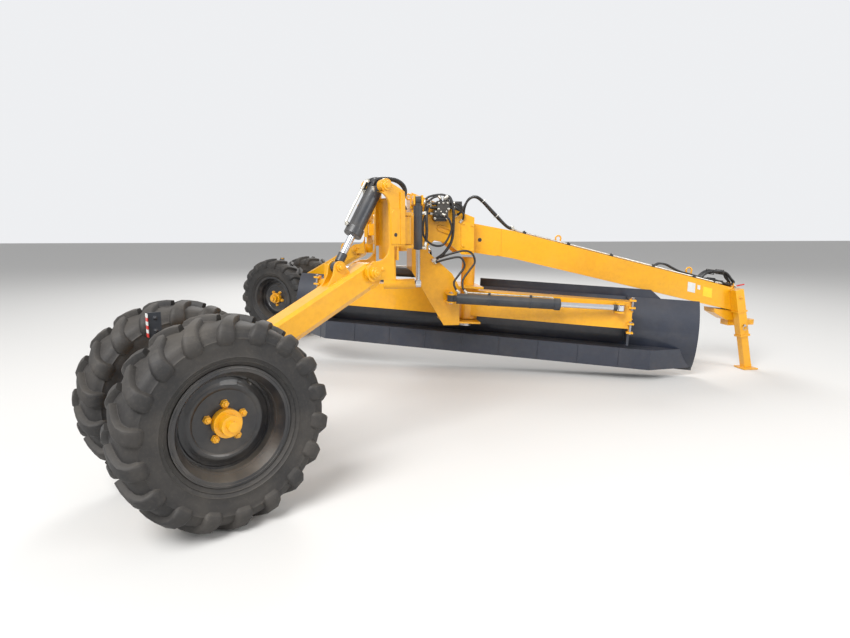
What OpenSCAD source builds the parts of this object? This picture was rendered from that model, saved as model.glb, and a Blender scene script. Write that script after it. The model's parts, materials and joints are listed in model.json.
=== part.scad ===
// Towed grader: a pulled road grader with a sloping box beam, an angled blade under it
// and two wheel pairs on lifting arms. Lengths are millimetres. +X points forward to the
// tow eye, +Y to the left, +Z up. The origin is the centre of the tow eye's bore.
// Places are written from the blade's swing axis (x), the middle plane (y) and the
// ground (z), and the module machine() shifts them to the origin.

/* [Place of the origin] */
// tow eye forward of the blade's swing axis
eye_x = 3440; // [3300:10:3700]
// tow eye above the ground
eye_z = 520; // [400:10:650]

/* [Fits] */
// play of a pin in its bore, on the radius
pin_play = 0.08; // [0.02:0.01:0.1]
// gap between pieces that move past each other
move_gap = 6; // [5:1:12]
// gap between pieces that are bolted or welded to each other
seat_gap = 0.3; // [0.1:0.1:0.5]
// thickness of the welded side plates
plate_t = 20; // [12:1:30]

/* [Main beam] */
// width of the box beam
beam_w = 250; // [200:10:300]
// height of the beam at the tower
beam_h_rear = 306; // [250:2:350]
// height of the beam at the tow head
beam_h_front = 262; // [200:2:300]
// top of the beam at the tower
beam_rear_z = 1680; // [1600:10:1750]
// where the top of the beam bends
beam_bend_x = 480; // [300:10:700]
// top of the beam at the bend
beam_bend_z = 1596; // [1500:2:1650]
// front end of the beam
beam_front_x = 3150; // [2900:10:3300]
// top of the beam at its front end
beam_front_z = 935; // [850:5:1000]

/* [Tower] */
// distance of each side plate from the middle plane
tower_y = 280; // [240:5:320]
// rear edge of the side plates
tower_rear_x = -640; // [-700:5:-600]
// top rear corner of the side plates
tower_rear_z = 1985; // [1900:5:2050]
// front edge of the side plates
tower_front_x = 20; // [0:5:60]
// top front corner of the side plates
tower_front_z = 1735; // [1700:5:1800]

/* [Blade swing] */
// height of the blade's swing centre
swing_z = 815; // [760:5:860]
// forward lean of the swing axis, in degrees
swing_lean = 3; // [0:0.5:6]
// blade's angle from the beam as parked, in degrees
blade_angle = 20.5; // [10:0.5:40]
// radius of the swing pin
kingpin_r = 50; // [40:1:60]
// height of the blade beam
blade_beam_h = 280; // [240:5:320]
// width of the blade beam
blade_beam_w = 220; // [180:5:260]
// half length of the blade beam
blade_beam_half = 1730; // [1500:10:1900]

/* [Moldboard] */
// length of the moldboard left of the swing axis
board_left = 2200; // [1800:10:2300]
// length of the moldboard right of the swing axis
board_right = 2500; // [2000:10:2600]
// height of the moldboard
board_h = 740; // [600:10:850]
// top of the moldboard above the swing centre
board_top = 150; // [100:5:200]
// radius of the moldboard's curve
board_r = 560; // [450:10:800]
// back of the curve from the swing axis
board_y = 300; // [280:5:400]
// thickness of the moldboard plate
board_t = 16; // [8:1:25]
// height of the box behind the cutting edge
carrier_h = 215; // [150:5:260]
// back face of the box behind the cutting edge
carrier_y = 60; // [0:5:150]
// height of the plate on the moldboard's top edge
spill_h = 90; // [60:5:110]

/* [Angle cylinders] */
// bore pin of a barrel behind the swing axis
angle_base_x = 250; // [200:5:300]
// bore pin of a barrel from the middle plane
angle_base_y = 430; // [380:5:480]
// height of the right cylinder above the swing centre
angle_right_z = 80; // [60:5:100]
// height of the left cylinder above the swing centre
angle_left_z = 262; // [240:2:300]
// lug for the rod in from the end of the blade beam
angle_lug_in = 110; // [80:5:200]
// lug for the rod from the blade beam's middle
angle_lug_y = 185; // [170:5:220]
// left lug from the blade beam's middle
left_lug_y = 65; // [60:1:80]
// radius of the barrel
angle_barrel_r = 55; // [40:1:65]
// radius of the rod
angle_rod_r = 28; // [20:1:40]
// length of the right barrel from its base pin
right_barrel_len = 1120; // [1050:5:1160]
// length of the left barrel from its base pin
left_barrel_len = 920; // [860:5:960]
// inner end of the right rod from the base pin
right_rod_from = 760; // [740:5:900]
// inner end of the left rod from the base pin
left_rod_from = 260; // [250:5:500]

/* [Rear cross beam] */
// middle of the cross beam behind the swing axis
cross_x = 886; // [840:1:930]
// height of the cross beam's roll pin
cross_z = 1610; // [1550:5:1650]
// width of the cross beam, fore and aft
cross_w = 220; // [160:5:240]
// height of the cross beam
cross_h = 260; // [200:5:300]
// swing pin of each bracket from the middle plane
hinge_y = 1995; // [1900:5:2050]
// radius of the bracket's swing pin
hinge_r = 40; // [30:1:50]
// radius of the roll pin
roll_r = 70; // [50:1:90]

/* [Tilt cylinder] */
// tilt cylinder's place along the machine
tilt_x = -600; // [-620:5:-560]
// tilt cylinder's place from the middle plane
tilt_y = -525; // [-600:5:-450]
// height of its upper pin
tilt_top_z = 1900; // [1850:5:1950]
// height of its lower pin
tilt_low_z = 1075; // [1000:5:1150]

/* [Wheel brackets] */
// splay of a bracket as parked, in degrees
splay = 33; // [0:1:40]
// arm pin behind the bracket's swing pin
arm_pin_back = 330; // [300:5:360]
// height of the arm pin
arm_pin_z = 1320; // [1250:5:1350]
// lift cylinder's upper pin behind the swing pin
horn_back = 280; // [220:5:300]
// height of the lift cylinder's upper pin
horn_z = 1918; // [1850:1:1980]
// distance of each cheek plate from the bracket's middle
cheek_y = 150; // [130:5:180]
// radius of the bracket's pins
lift_pin_r = 30; // [20:1:40]

/* [Wheel arms] */
// distance from the arm pin to the axle, level
arm_len = 1200; // [1100:10:1400]
// height of the arm box
arm_h = 180; // [150:5:220]
// width of the arm box
arm_w = 150; // [120:5:180]
// how far the axle hangs under the arm's middle line
axle_drop = 150; // [100:5:200]
// arm lug behind the arm pin
arm_lug_back = 250; // [250:2:350]
// height of the arm lug's pin
arm_lug_z = 1362; // [1300:2:1400]

/* [Wheels] */
// radius of a tyre to the lugs' tips
tyre_r = 590; // [500:5:650]
// height of the lugs
lug_h = 34; // [20:1:45]
// number of lugs on each side of a tyre
lug_n = 18; // [12:1:24]
// width of a tyre
tyre_w = 315; // [280:5:350]
// radius of the rim's bead seat
rim_r = 305; // [290:1:320]
// middle of each tyre from the middle of the pair
twin_y = 390; // [340:5:420]
// radius of the wheel bolt circle
bolt_circle_r = 102.5; // [90:0.5:120]
// number of wheel bolts
bolt_n = 5; // [4:1:8]
// radius of the axle shaft
axle_r = 38; // [30:1:45]

/* [Parking jack] */
// jack tube forward of the swing axis, at the top of the beam
jack_x = 3120; // [3050:5:3200]
// jack tube right of the middle plane
jack_y = 195; // [180:5:240]
// lean of the jack, in degrees
jack_lean = 12; // [0:1:15]
// outer width of the jack's sleeve
jack_w = 100; // [80:5:120]
// wall of the jack's sleeve
jack_wall = 8; // [5:1:10]

/* [Hidden] */
$fn = 48;

yellow = [0.93, 0.66, 0.04];
black = [0.08, 0.09, 0.11];
steel = [0.75, 0.76, 0.78];
rubber = [0.12, 0.12, 0.12];

barrel_start = 56;
angle_lug_x = blade_beam_half - angle_lug_in;
carrier_top = board_top - board_h + carrier_h;
axle_back = arm_pin_back + arm_len;
axle_z = tyre_r;
arm_end_z = axle_z + axle_drop;
arm_slope = atan2(arm_pin_z - arm_end_z, arm_len);
lift_len = norm([arm_pin_back + arm_lug_back - horn_back, horn_z - arm_lug_z]);
lift_slope = atan2(arm_pin_back + arm_lug_back - horn_back, horn_z - arm_lug_z);
board_half_angle = asin(board_h / 2 / board_r);
board_front_y = board_y + board_r - (board_r - board_t) * cos(board_half_angle);
fork_top = blade_beam_h / 2 + 35;
fork_low = -blade_beam_h / 2 - 45;

// moves from the writing frame to the frame of the part
module machine() {
    translate([-eye_x, 0, -eye_z]) children();
}

// stands an outline drawn in X and Z up as a plate, with its thickness along Y
module slab(t) {
    rotate([90, 0, 0]) linear_extrude(t, center = true) children();
}

// a cylinder along Y, in the middle of its place
module pin_y(r, h) {
    rotate([90, 0, 0]) cylinder(r = r, h = h, center = true);
}

// a cylinder along X that starts at its place
module pin_x(r, h) {
    rotate([0, 90, 0]) cylinder(r = r, h = h);
}

// the leaning frame of the blade's swing axis
module swing_frame() {
    machine() translate([0, 0, swing_z]) rotate([0, swing_lean, 0]) children();
}

// the blade's own frame: X along the blade to its right end, Y to the hollow side
module blade_frame() {
    swing_frame() rotate([0, 0, -blade_angle]) children();
}

// the frame of the right or left wheel bracket: X forward, origin on its swing pin
module bracket_frame(side) {
    mirror([0, side < 0 ? 0 : 1, 0])
        translate([-eye_x - cross_x, -hinge_y, -eye_z]) rotate([0, 0, splay]) children();
}

// box beam
module main_beam() {
    color(yellow) machine() {
        slab(beam_w)
            polygon([
                [tower_front_x, beam_rear_z], [beam_bend_x, beam_bend_z],
                [beam_front_x, beam_front_z], [beam_front_x, beam_front_z - beam_h_front],
                [beam_bend_x, beam_bend_z - beam_h_rear + 10],
                [tower_front_x, beam_rear_z - beam_h_rear]
            ]);
    }
}

// outline of a tower side plate, down to a given low edge
module tower_outline(low) {
    polygon(concat(
        [
            [tower_rear_x, tower_rear_z], [tower_front_x, tower_front_z],
            [tower_front_x, 1350], [-110, 1350], [-250, 1470], [-400, 1500], [-470, 1440],
            [-465, 1375], [-212, 1150], [-150, 1040]
        ],
        low ? [[-130, 1000], [-130, 600], [-300, 600]] : [[-440, 1040]],
        [[tower_rear_x, 1180]]
    ));
}

// tower: side plates, cross plates and the fork for the swing pin
module tower() {
    color(yellow) difference() {
        union() {
            machine() {
                translate([0, -tower_y, 0]) slab(plate_t) tower_outline(true);
                translate([0, tower_y, 0]) slab(plate_t) tower_outline(false);
                translate([tower_front_x - plate_t, -tower_y, 1350])
                    cube([plate_t, 2 * tower_y, tower_front_z - 1360]);
                translate([tower_rear_x, -tower_y, 1180])
                    cube([plate_t, 2 * tower_y, tower_rear_z - 1190]);
            }
            swing_frame() {
                translate([-330, -tower_y - 10, fork_top])
                    cube([450, 2 * tower_y + 20, plate_t]);
                translate([-300, -tower_y - 10, fork_low - plate_t])
                    cube([410, tower_y + 130, plate_t]);
                translate([0, 0, fork_top])
                    cylinder(r = kingpin_r + 25, h = 320);
                right_angle_ears();
                left_angle_ears();
            }
        }
        swing_frame() {
            cylinder(r = kingpin_r, h = 1000, center = true);
            translate([-angle_base_x, -angle_base_y, 0]) cylinder(r = 20, h = 800, center = true);
            translate([-angle_base_x, angle_base_y, 0]) cylinder(r = 20, h = 800, center = true);
        }
        machine() translate([tower_rear_x - 1, 0, cross_z]) pin_x(roll_r, 60);
    }
}

// pair of ears that carries a cylinder's base pin
module base_ears(z, inner_y) {
    for (s = [-1, 1])
        translate([-angle_base_x, angle_base_y, z + s * 42 - 8]) {
            cylinder(r = 45, h = 16);
            translate([-45, inner_y - angle_base_y, 0]) cube([90, angle_base_y - inner_y, 16]);
        }
}

module right_angle_ears() {
    mirror([0, 1, 0]) base_ears(angle_right_z, tower_y);
}

module left_angle_ears() {
    base_ears(angle_left_z, tower_y);
}

// plate on the tower with the ears and the pin that carry the tilt cylinder
module tilt_bracket() {
    base_y = tower_y + plate_t / 2 + seat_gap;
    color(yellow) machine() union() {
        for (s = [-1, 1])
            translate([tilt_x + s * 40 - 8, tilt_y - 45, tilt_top_z - 45])
                cube([16, -tilt_y + 45 - base_y, 90]);
        translate([tilt_x - 56, -base_y - 16, tilt_top_z - 75]) cube([112, 16, 130]);
        translate([tilt_x - 56, tilt_y, tilt_top_z]) pin_x(18, 112);
    }
}

// swing pin of the blade and the base pins of its cylinders
module kingpin() {
    color(steel) swing_frame() {
        translate([0, 0, fork_low - plate_t - 30]) cylinder(r = kingpin_r, h = 560);
        translate([0, 0, fork_low - plate_t - 60]) cylinder(r = kingpin_r + 15, h = 30);
        translate([-angle_base_x, -angle_base_y, angle_right_z - 60]) cylinder(r = 20, h = 120);
        translate([-angle_base_x, angle_base_y, angle_left_z - 60]) cylinder(r = 20, h = 120);
    }
}

// lengthwise pin on which the cross beam rolls, with its keeper disc
module roll_pin() {
    color(yellow) machine() {
        translate([-cross_x - cross_w / 2 - 30, 0, cross_z])
            pin_x(roll_r, cross_x + cross_w / 2 + 30 + tower_rear_x + 60);
        translate([-cross_x - cross_w / 2 - 28, 0, cross_z]) pin_x(160, 16);
        translate([-cross_x - cross_w / 2 - 80, -60, cross_z - 60]) cube([60, 120, 120]);
    }
}

// tow head with its tongue and eye
module tow_head() {
    color(yellow) machine() difference() {
        union() {
            slab(200) polygon([
                [beam_front_x, beam_front_z - 20], [beam_front_x + 90, beam_front_z - 40],
                [beam_front_x + 90, 560], [beam_front_x - 60, 560], [beam_front_x - 220, 650],
                [beam_front_x - 230, 700], [beam_front_x, beam_front_z - beam_h_front]
            ]);
            translate([beam_front_x - 20, -60, eye_z - 30]) cube([eye_x - beam_front_x + 20, 120, 60]);
            translate([eye_x, 0, eye_z - 30]) cylinder(r = 60, h = 60);
            translate([beam_front_x - 20, -70, eye_z - 30]) cube([100, 140, 90]);
        }
        translate([eye_x, 0, eye_z]) cylinder(r = 17, h = 100, center = true);
    }
}

// leaning frame of the jack, origin at its top, Z along the tube
module jack_frame() {
    machine() translate([jack_x, -jack_y, beam_front_z - 5]) rotate([0, -jack_lean, 0]) children();
}

// outer tube of the parking jack, with its arms to the tow head
module jack_sleeve() {
    color(yellow) jack_frame() difference() {
        union() {
            translate([-jack_w / 2, -jack_w / 2, -560]) cube([jack_w, jack_w, 560]);
            translate([-jack_w / 2, jack_w / 2, -250])
                cube([jack_w, jack_y - jack_w / 2 - beam_w / 2 - seat_gap, 220]);
        }
        translate([-jack_w / 2 + jack_wall, -jack_w / 2 + jack_wall, -600])
            cube([jack_w - 2 * jack_wall, jack_w - 2 * jack_wall, 592]);
    }
}

// inner tube of the parking jack and its foot
module jack_leg() {
    leg_w = jack_w - 2 * jack_wall - 0.2;
    low = (beam_front_z - 5) / cos(jack_lean);
    color(yellow) union() {
        jack_frame() translate([-leg_w / 2, -leg_w / 2, -low + 22])
            cube([leg_w, leg_w, low - 22 - 300]);
        machine() translate([jack_x + (beam_front_z - 5) * tan(jack_lean) - 90, -jack_y - 90, 0])
            cube([180, 180, 14]);
        machine() translate([jack_x + (beam_front_z - 5) * tan(jack_lean) - 50, -jack_y - 38, 12])
            cube([90, 76, 40]);
    }
}

// valve block on the tower
module valve_block() {
    color(black) machine() {
        translate([-330, plate_t / 2 - tower_y + seat_gap, 1640]) cube([220, 130, 260]);
    }
}

// box beam that carries the moldboard and turns on the swing pin
module blade_beam() {
    color(yellow) blade_frame() difference() {
        union() {
            translate([-blade_beam_half, -blade_beam_w / 2, -blade_beam_h / 2])
                cube([2 * blade_beam_half, blade_beam_w, blade_beam_h]);
            translate([0, 0, fork_low + 8])
                cylinder(r = 130, h = fork_top - fork_low - 16);
            for (s = [-1, 1])
                translate([angle_lug_x, -angle_lug_y, angle_right_z + s * 44 - 9]) {
                    cylinder(r = 48, h = 18);
                    translate([-48, 0, 0]) cube([96, angle_lug_y - blade_beam_w / 2, 18]);
                }
            for (s = [-1, 1])
                translate([-angle_lug_x, left_lug_y, angle_left_z + s * 44 - 9]) {
                    cylinder(r = 48, h = 18);
                    translate([-48, -90, 0]) cube([96, 90, 18]);
                }
            translate([-angle_lug_x - 80, left_lug_y - 90, blade_beam_h / 2])
                cube([160, 18, angle_left_z + 53 - blade_beam_h / 2]);
        }
        cylinder(r = kingpin_r + pin_play, h = 600, center = true);
    }
}

// one slice of the moldboard's curve, drawn in Y and Z
module board_profile(t) {
    mid_z = board_top - board_h / 2;
    half = asin(board_h / 2 / board_r);
    translate([board_y + board_r, mid_z]) difference() {
        circle(r = board_r, $fn = 96);
        circle(r = board_r - t, $fn = 96);
        polygon([
            [0, 0], [-2 * board_r * cos(half), 2 * board_r * sin(half)],
            [2 * board_r, 2 * board_r], [2 * board_r, -2 * board_r],
            [-2 * board_r * cos(half), -2 * board_r * sin(half)]
        ]);
    }
}

// lays a profile drawn in Y and Z out along X
module along_x(from, to) {
    translate([from, 0, 0]) rotate([90, 0, 90]) linear_extrude(to - from) children();
}

// the round that the moldboard's back follows
module board_round(r) {
    translate([0, board_y + board_r, board_top - board_h / 2]) rotate([0, 90, 0])
        translate([0, 0, -board_left - 10]) cylinder(r = r, h = board_left + board_right + 20, $fn = 96);
}

module moldboard() {
    color(black) blade_frame() along_x(-board_left, board_right) board_profile(board_t);
}

// box behind the cutting edge, cut away on a slant at both ends
module edge_carrier() {
    low = board_top - board_h;
    inner = board_r + board_y;
    color(black) blade_frame() difference() {
        translate([0, 0, low]) linear_extrude(carrier_h) polygon([
            [-board_left + 40, inner - 440], [-board_left + 500, carrier_y],
            [board_right - 500, carrier_y], [board_right - 40, inner - 440]
        ]);
        board_round(board_r + seat_gap);
    }
}

// bolted cutting edge, in equal lengths
module cutting_edge() {
    low = board_top - board_h - 35;
    part_n = 4;
    part_len = (board_left + board_right) / part_n;
    color(black) blade_frame() {
        for (i = [0 : part_n - 1])
            translate([-board_left + i * part_len + 1, board_front_y + seat_gap, low])
                cube([part_len - 2, 20, 120]);
    }
}

// raised plate on the moldboard's top edge
module spill_plate() {
    low = board_top - 40;
    top = board_top + spill_h;
    color(black) blade_frame() translate([0, board_front_y + seat_gap + 6, 0])
        slab(12) polygon([[80, low], [80, top], [board_right - 510, top], [board_right - 350, low]]);
}

// upright straps that join the blade beam to the moldboard
module blade_straps() {
    color(black) blade_frame() difference() {
        union() {
            for (x = [-blade_beam_half - 24, blade_beam_half])
                translate([x, -30, carrier_top + 45])
                    cube([24, 480, blade_beam_h / 2 - carrier_top - 35]);
            for (x = [-900, -400, 400, 900])
                translate([x, blade_beam_w / 2, -120]) cube([24, 300, 240]);
        }
        board_round(board_r + seat_gap);
    }
}

// a cylinder's barrel along +X from its base pin, with the bore of the pin along Z
module barrel(r, length, rod_r, pin_r, eye_h) {
    neck_h = min(eye_h, 70);
    difference() {
        union() {
            cylinder(r = 40, h = eye_h, center = true);
            translate([0, -28, -neck_h / 2]) cube([barrel_start + 5, 56, neck_h]);
            translate([barrel_start, 0, 0]) pin_x(r, length - barrel_start);
        }
        cylinder(r = pin_r + pin_play, h = max(eye_h, 2 * r) + 20, center = true);
        translate([barrel_start + 45, 0, 0]) pin_x(rod_r + pin_play, length);
    }
}

// a cylinder's rod that ends at its eye, x = 0 at the barrel's base pin
module rod(r, from, to, eye_r, eye_h) {
    translate([from, 0, 0]) pin_x(r, to - from - eye_r + 8);
    translate([to, 0, 0]) cylinder(r = eye_r, h = eye_h, center = true);
}

right_lug = [
    angle_lug_x * cos(-blade_angle) + angle_lug_y * sin(-blade_angle),
    angle_lug_x * sin(-blade_angle) - angle_lug_y * cos(-blade_angle)
];
right_run = right_lug - [-angle_base_x, -angle_base_y];
left_lug = [
    -angle_lug_x * cos(-blade_angle) - left_lug_y * sin(-blade_angle),
    -angle_lug_x * sin(-blade_angle) + left_lug_y * cos(-blade_angle)
];
left_run = left_lug - [-angle_base_x, angle_base_y];

module right_angle_frame() {
    swing_frame() translate([-angle_base_x, -angle_base_y, angle_right_z])
        rotate([0, 0, atan2(right_run[1], right_run[0])]) children();
}

module left_angle_frame() {
    swing_frame() translate([-angle_base_x, angle_base_y, angle_left_z])
        rotate([0, 0, atan2(left_run[1], left_run[0])]) children();
}

module right_angle_barrel() {
    color(black) right_angle_frame() barrel(angle_barrel_r, right_barrel_len, angle_rod_r, 20, 60);
}

module right_angle_rod() {
    color(steel) right_angle_frame() rod(angle_rod_r, right_rod_from, norm(right_run), 42, 56);
}

module left_angle_barrel() {
    color(black) left_angle_frame() barrel(angle_barrel_r, left_barrel_len, angle_rod_r, 20, 60);
}

module left_angle_rod() {
    color(steel) left_angle_frame() rod(angle_rod_r, left_rod_from, norm(left_run), 42, 56);
}

// cross beam with the clevises for both brackets and the tilt lever
module cross_beam() {
    color(yellow) machine() difference() {
        union() {
            translate([-cross_x - cross_w / 2, -hinge_y + 190, cross_z - cross_h / 2])
                cube([cross_w, 2 * hinge_y - 380, cross_h]);
            for (s = [-1, 1], z = [cross_z - cross_h / 2, cross_z + cross_h / 2 - 24]) {
                translate([-cross_x, s * hinge_y, z]) cylinder(r = 85, h = 24);
                translate([-cross_x - 85, s > 0 ? hinge_y - 200 : -hinge_y, z])
                    cube([170, 200, 24]);
            }
            for (s = [-1, 1])
                translate([-cross_x, s * hinge_y, cross_z - cross_h / 2 - 20])
                    cylinder(r = hinge_r, h = cross_h + 40);
            translate([-cross_x - 60, tilt_y - 35, tilt_low_z])
                cube([120, 70, cross_z - cross_h / 2 - tilt_low_z]);
            translate([-cross_x - 60, tilt_y, tilt_low_z])
                pin_x(50, cross_x + 60 + tilt_x - 25 - 2 * move_gap);
        }
        translate([-cross_x - cross_w, 0, cross_z]) pin_x(roll_r + pin_play, 2 * cross_w);
    }
}

// the tilt cylinder's frame: X points down from its upper pin, Z along its pins
module tilt_frame() {
    machine() translate([tilt_x, tilt_y, tilt_top_z]) rotate([0, 90, 0]) children();
}

module tilt_barrel() {
    color(black) tilt_frame() barrel(45, 480, 22, 18, 50);
}

module tilt_rod() {
    color(steel) tilt_frame() rod(22, 200, tilt_top_z - tilt_low_z, 40, 50);
}

// side view of a bracket's cheek plate, x from the swing pin
module cheek_outline() {
    difference() {
        union() {
            difference() {
                polygon([
                    [-90, arm_pin_z - 30], [-90, horn_z - 38],
                    [48 - horn_back, horn_z + 58], [-20 - horn_back, horn_z + 48],
                    [-horn_back - 58, horn_z], [-arm_pin_back - 78, arm_pin_z + 10],
                    [-arm_pin_back - 78, arm_pin_z], [-arm_pin_back, arm_pin_z - 78],
                    [-200, arm_pin_z - 90]
                ]);
                translate([-500, (horn_z + arm_pin_z) / 2 + 21])
                    circle(r = (horn_z - arm_pin_z) / 2 + 11, $fn = 96);
            }
            translate([-arm_pin_back, arm_pin_z]) circle(r = 78);
            translate([-horn_back, horn_z]) circle(r = 58);
        }
    }
}

// wheel bracket: two cheek plates, the web between them, the hinge tube and two pins
module bracket(side) {
    color(yellow) bracket_frame(side) difference() {
        union() {
            for (s = [-1, 1]) translate([0, s * cheek_y, 0]) slab(plate_t) cheek_outline();
            translate([-150, -cheek_y, arm_pin_z + 80])
                cube([plate_t, 2 * cheek_y, horn_z - arm_pin_z - 158]);
            translate([0, 0, cross_z - cross_h / 2 + 24 + move_gap])
                cylinder(r = 75, h = cross_h - 48 - 2 * move_gap);
            translate([-140, -60, cross_z - cross_h / 2 + 24 + move_gap])
                cube([140, 120, cross_h - 48 - 2 * move_gap]);
            for (s = [-1, 1])
                translate([-150, s > 0 ? 50 : -cheek_y, cross_z - 60])
                    cube([60, cheek_y - 50, 120]);
            translate([-arm_pin_back, 0, arm_pin_z]) pin_y(lift_pin_r, 2 * cheek_y + 60);
            translate([-horn_back, 0, horn_z]) pin_y(lift_pin_r, 2 * cheek_y + 60);
        }
        translate([0, 0, cross_z - cross_h]) cylinder(r = hinge_r + pin_play, h = 2 * cross_h);
    }
}

module right_bracket() { bracket(-1); }
module left_bracket() { bracket(1); }

// wheel arm: box, root tube, axle tube and the ears for the lift cylinder
module arm(side) {
    box_len = norm([arm_len, arm_pin_z - arm_end_z]);
    color(yellow) bracket_frame(side) difference() {
        union() {
            translate([-arm_pin_back, 0, arm_pin_z]) {
                pin_y(66, 2 * cheek_y - plate_t - 2 * 4);
                rotate([0, -arm_slope, 0])
                    translate([-box_len - 60, -arm_w / 2, -arm_h / 2]) cube([box_len + 60, arm_w, arm_h]);
            }
            translate([-axle_back, 0, axle_z]) pin_y(62, 260);
            translate([-axle_back - 60, -40, axle_z]) cube([120, 80, axle_drop]);
            for (s = [-1, 1])
                translate([0, s * 40, 0]) slab(16) union() {
                    translate([-arm_pin_back - arm_lug_back, arm_lug_z]) circle(r = 44);
                    polygon([
                        [-arm_pin_back - arm_lug_back - 44, arm_lug_z],
                        [-arm_pin_back - arm_lug_back + 44, arm_lug_z],
                        [-arm_pin_back - arm_lug_back + 110, arm_lug_z - 60],
                        [-arm_pin_back - arm_lug_back + 60, arm_lug_z - 160],
                        [-arm_pin_back - arm_lug_back - 70, arm_lug_z - 200]
                    ]);
                }
        }
        translate([-arm_pin_back, 0, arm_pin_z]) pin_y(lift_pin_r + pin_play, 400);
        translate([-axle_back, 0, axle_z]) pin_y(axle_r + pin_play, 400);
    }
}

module right_arm() { arm(-1); }
module left_arm() { arm(1); }

// the lift cylinder's frame: X from the horn pin to the arm lug, Z along the pins
module lift_frame(side) {
    bracket_frame(side) translate([-horn_back, 0, horn_z])
        rotate([0, 90 + lift_slope, 0]) rotate([90, 0, 0]) children();
}

module lift_barrel(side) {
    color(black) lift_frame(side) barrel(54, 400, 25, lift_pin_r, 2 * cheek_y - plate_t - 8);
}

module lift_rod(side) {
    color(steel) lift_frame(side) rod(25, 180, lift_len, 36, 52);
}

module right_lift_barrel() { lift_barrel(-1); }
module left_lift_barrel() { lift_barrel(1); }
module right_lift_rod() { lift_rod(-1); }
module left_lift_rod() { lift_rod(1); }

// frame of one wheel: Z along the axle, pointing away from the arm
module wheel_frame(side, s) {
    bracket_frame(side) translate([-axle_back, s * twin_y, axle_z]) rotate([-s * 90, 0, 0]) children();
}

// one tyre: a turned body and two rows of slanted lugs
module tyre() {
    body_r = tyre_r - lug_h;
    rotate_extrude($fn = 72) polygon([
        [rim_r + 3.3, -tyre_w * 0.36], [rim_r + 26, -tyre_w * 0.36],
        [rim_r + 60, -tyre_w * 0.46], [body_r - 130, -tyre_w * 0.5],
        [body_r - 50, -tyre_w * 0.47], [body_r - 12, -tyre_w * 0.38], [body_r, 0],
        [body_r - 12, tyre_w * 0.38], [body_r - 50, tyre_w * 0.47],
        [body_r - 130, tyre_w * 0.5], [rim_r + 60, tyre_w * 0.46],
        [rim_r + 26, tyre_w * 0.36], [rim_r + 3.3, tyre_w * 0.36]
    ]);
    for (side = [0, 1], i = [0 : lug_n - 1])
        mirror([0, 0, side]) rotate([0, 0, (i + side / 2) * 360 / lug_n]) lug();
}

// one lug: a slanted bar from the middle of the tread to the shoulder
module lug() {
    rotate([0, 90, 0]) rotate([0, 0, 90]) translate([0, 0, tyre_r - 70])
        linear_extrude(70) polygon([
            [-28, -6], [12, -6], [70, -tyre_w * 0.47], [34, -tyre_w * 0.47]
        ]);
}

module right_outer_tyre() { color(rubber) wheel_frame(-1, -1) tyre(); }
module right_inner_tyre() { color(rubber) wheel_frame(-1, 1) tyre(); }
module left_outer_tyre() { color(rubber) wheel_frame(1, -1) tyre(); }
module left_inner_tyre() { color(rubber) wheel_frame(1, 1) tyre(); }

// one rim: a turned ring and its dished disc
module rim() {
    rotate_extrude($fn = 72) polygon([
        [rim_r + 3, -130], [rim_r + 24, -130], [rim_r + 24, -120], [rim_r + 3, -118],
        [rim_r + 3, -100], [rim_r - 30, -60], [rim_r - 30, 60],
        [rim_r + 3, 100], [rim_r + 3, 118],
        [rim_r + 24, 120], [rim_r + 24, 130], [rim_r - 6, 130], [rim_r - 42, 62],
        [rim_r - 42, -62], [rim_r - 6, -130]
    ]);
    difference() {
        cylinder(r = rim_r - 34, h = 12);
        translate([0, 0, -10]) cylinder(r = 80, h = 40);
    }
}

module rims(side) {
    color(black) for (s = [-1, 1]) wheel_frame(side, s) rim();
}

module right_rims() { rims(-1); }
module left_rims() { rims(1); }

// axle shaft with the two hubs and their wheel bolts
module axle(side) {
    color(yellow) union() {
        bracket_frame(side) translate([-axle_back, 0, axle_z]) pin_y(axle_r, 2 * twin_y);
        for (s = [-1, 1]) wheel_frame(side, s) {
            translate([0, 0, -90]) cylinder(r = 70, h = 90);
            translate([0, 0, -16]) cylinder(r = 130, h = 16 - seat_gap);
            translate([0, 0, -16]) cylinder(r = 79, h = 76);
            cylinder(r = 55, h = 110);
            cylinder(r = 28, h = 135);
            for (i = [0 : bolt_n - 1]) rotate([0, 0, 90 + i * 360 / bolt_n])
                translate([bolt_circle_r, 0, 12 + seat_gap]) cylinder(r = 15, h = 20, $fn = 6);
        }
    }
}

module right_axle() { axle(-1); }
module left_axle() { axle(1); }

main_beam();
tower();
kingpin();
roll_pin();
tow_head();
jack_sleeve();
valve_block();
tilt_bracket();
jack_leg();
blade_beam();
moldboard();
edge_carrier();
cutting_edge();
spill_plate();
blade_straps();
right_angle_barrel();
right_angle_rod();
left_angle_barrel();
left_angle_rod();
cross_beam();
tilt_barrel();
tilt_rod();
right_bracket();
right_arm();
right_lift_barrel();
right_lift_rod();
right_outer_tyre();
right_inner_tyre();
right_rims();
right_axle();
left_bracket();
left_arm();
left_lift_barrel();
left_lift_rod();
left_outer_tyre();
left_inner_tyre();
left_rims();
left_axle();
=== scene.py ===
# %% [markdown]
# # Dressing a towed grader
# This lesson gives every surface a finish, adds the hoses, bolts and small fittings that a plain
# solid lacks, and sets up a quiet studio round the machine. Lengths are metres, +X points to the tow
# eye, +Y to the machine's left and +Z up. The origin is the centre of the tow eye's bore.

# %% Load the frame
import json
import math

import bmesh
import bpy
from mathutils import Matrix, Vector


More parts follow.
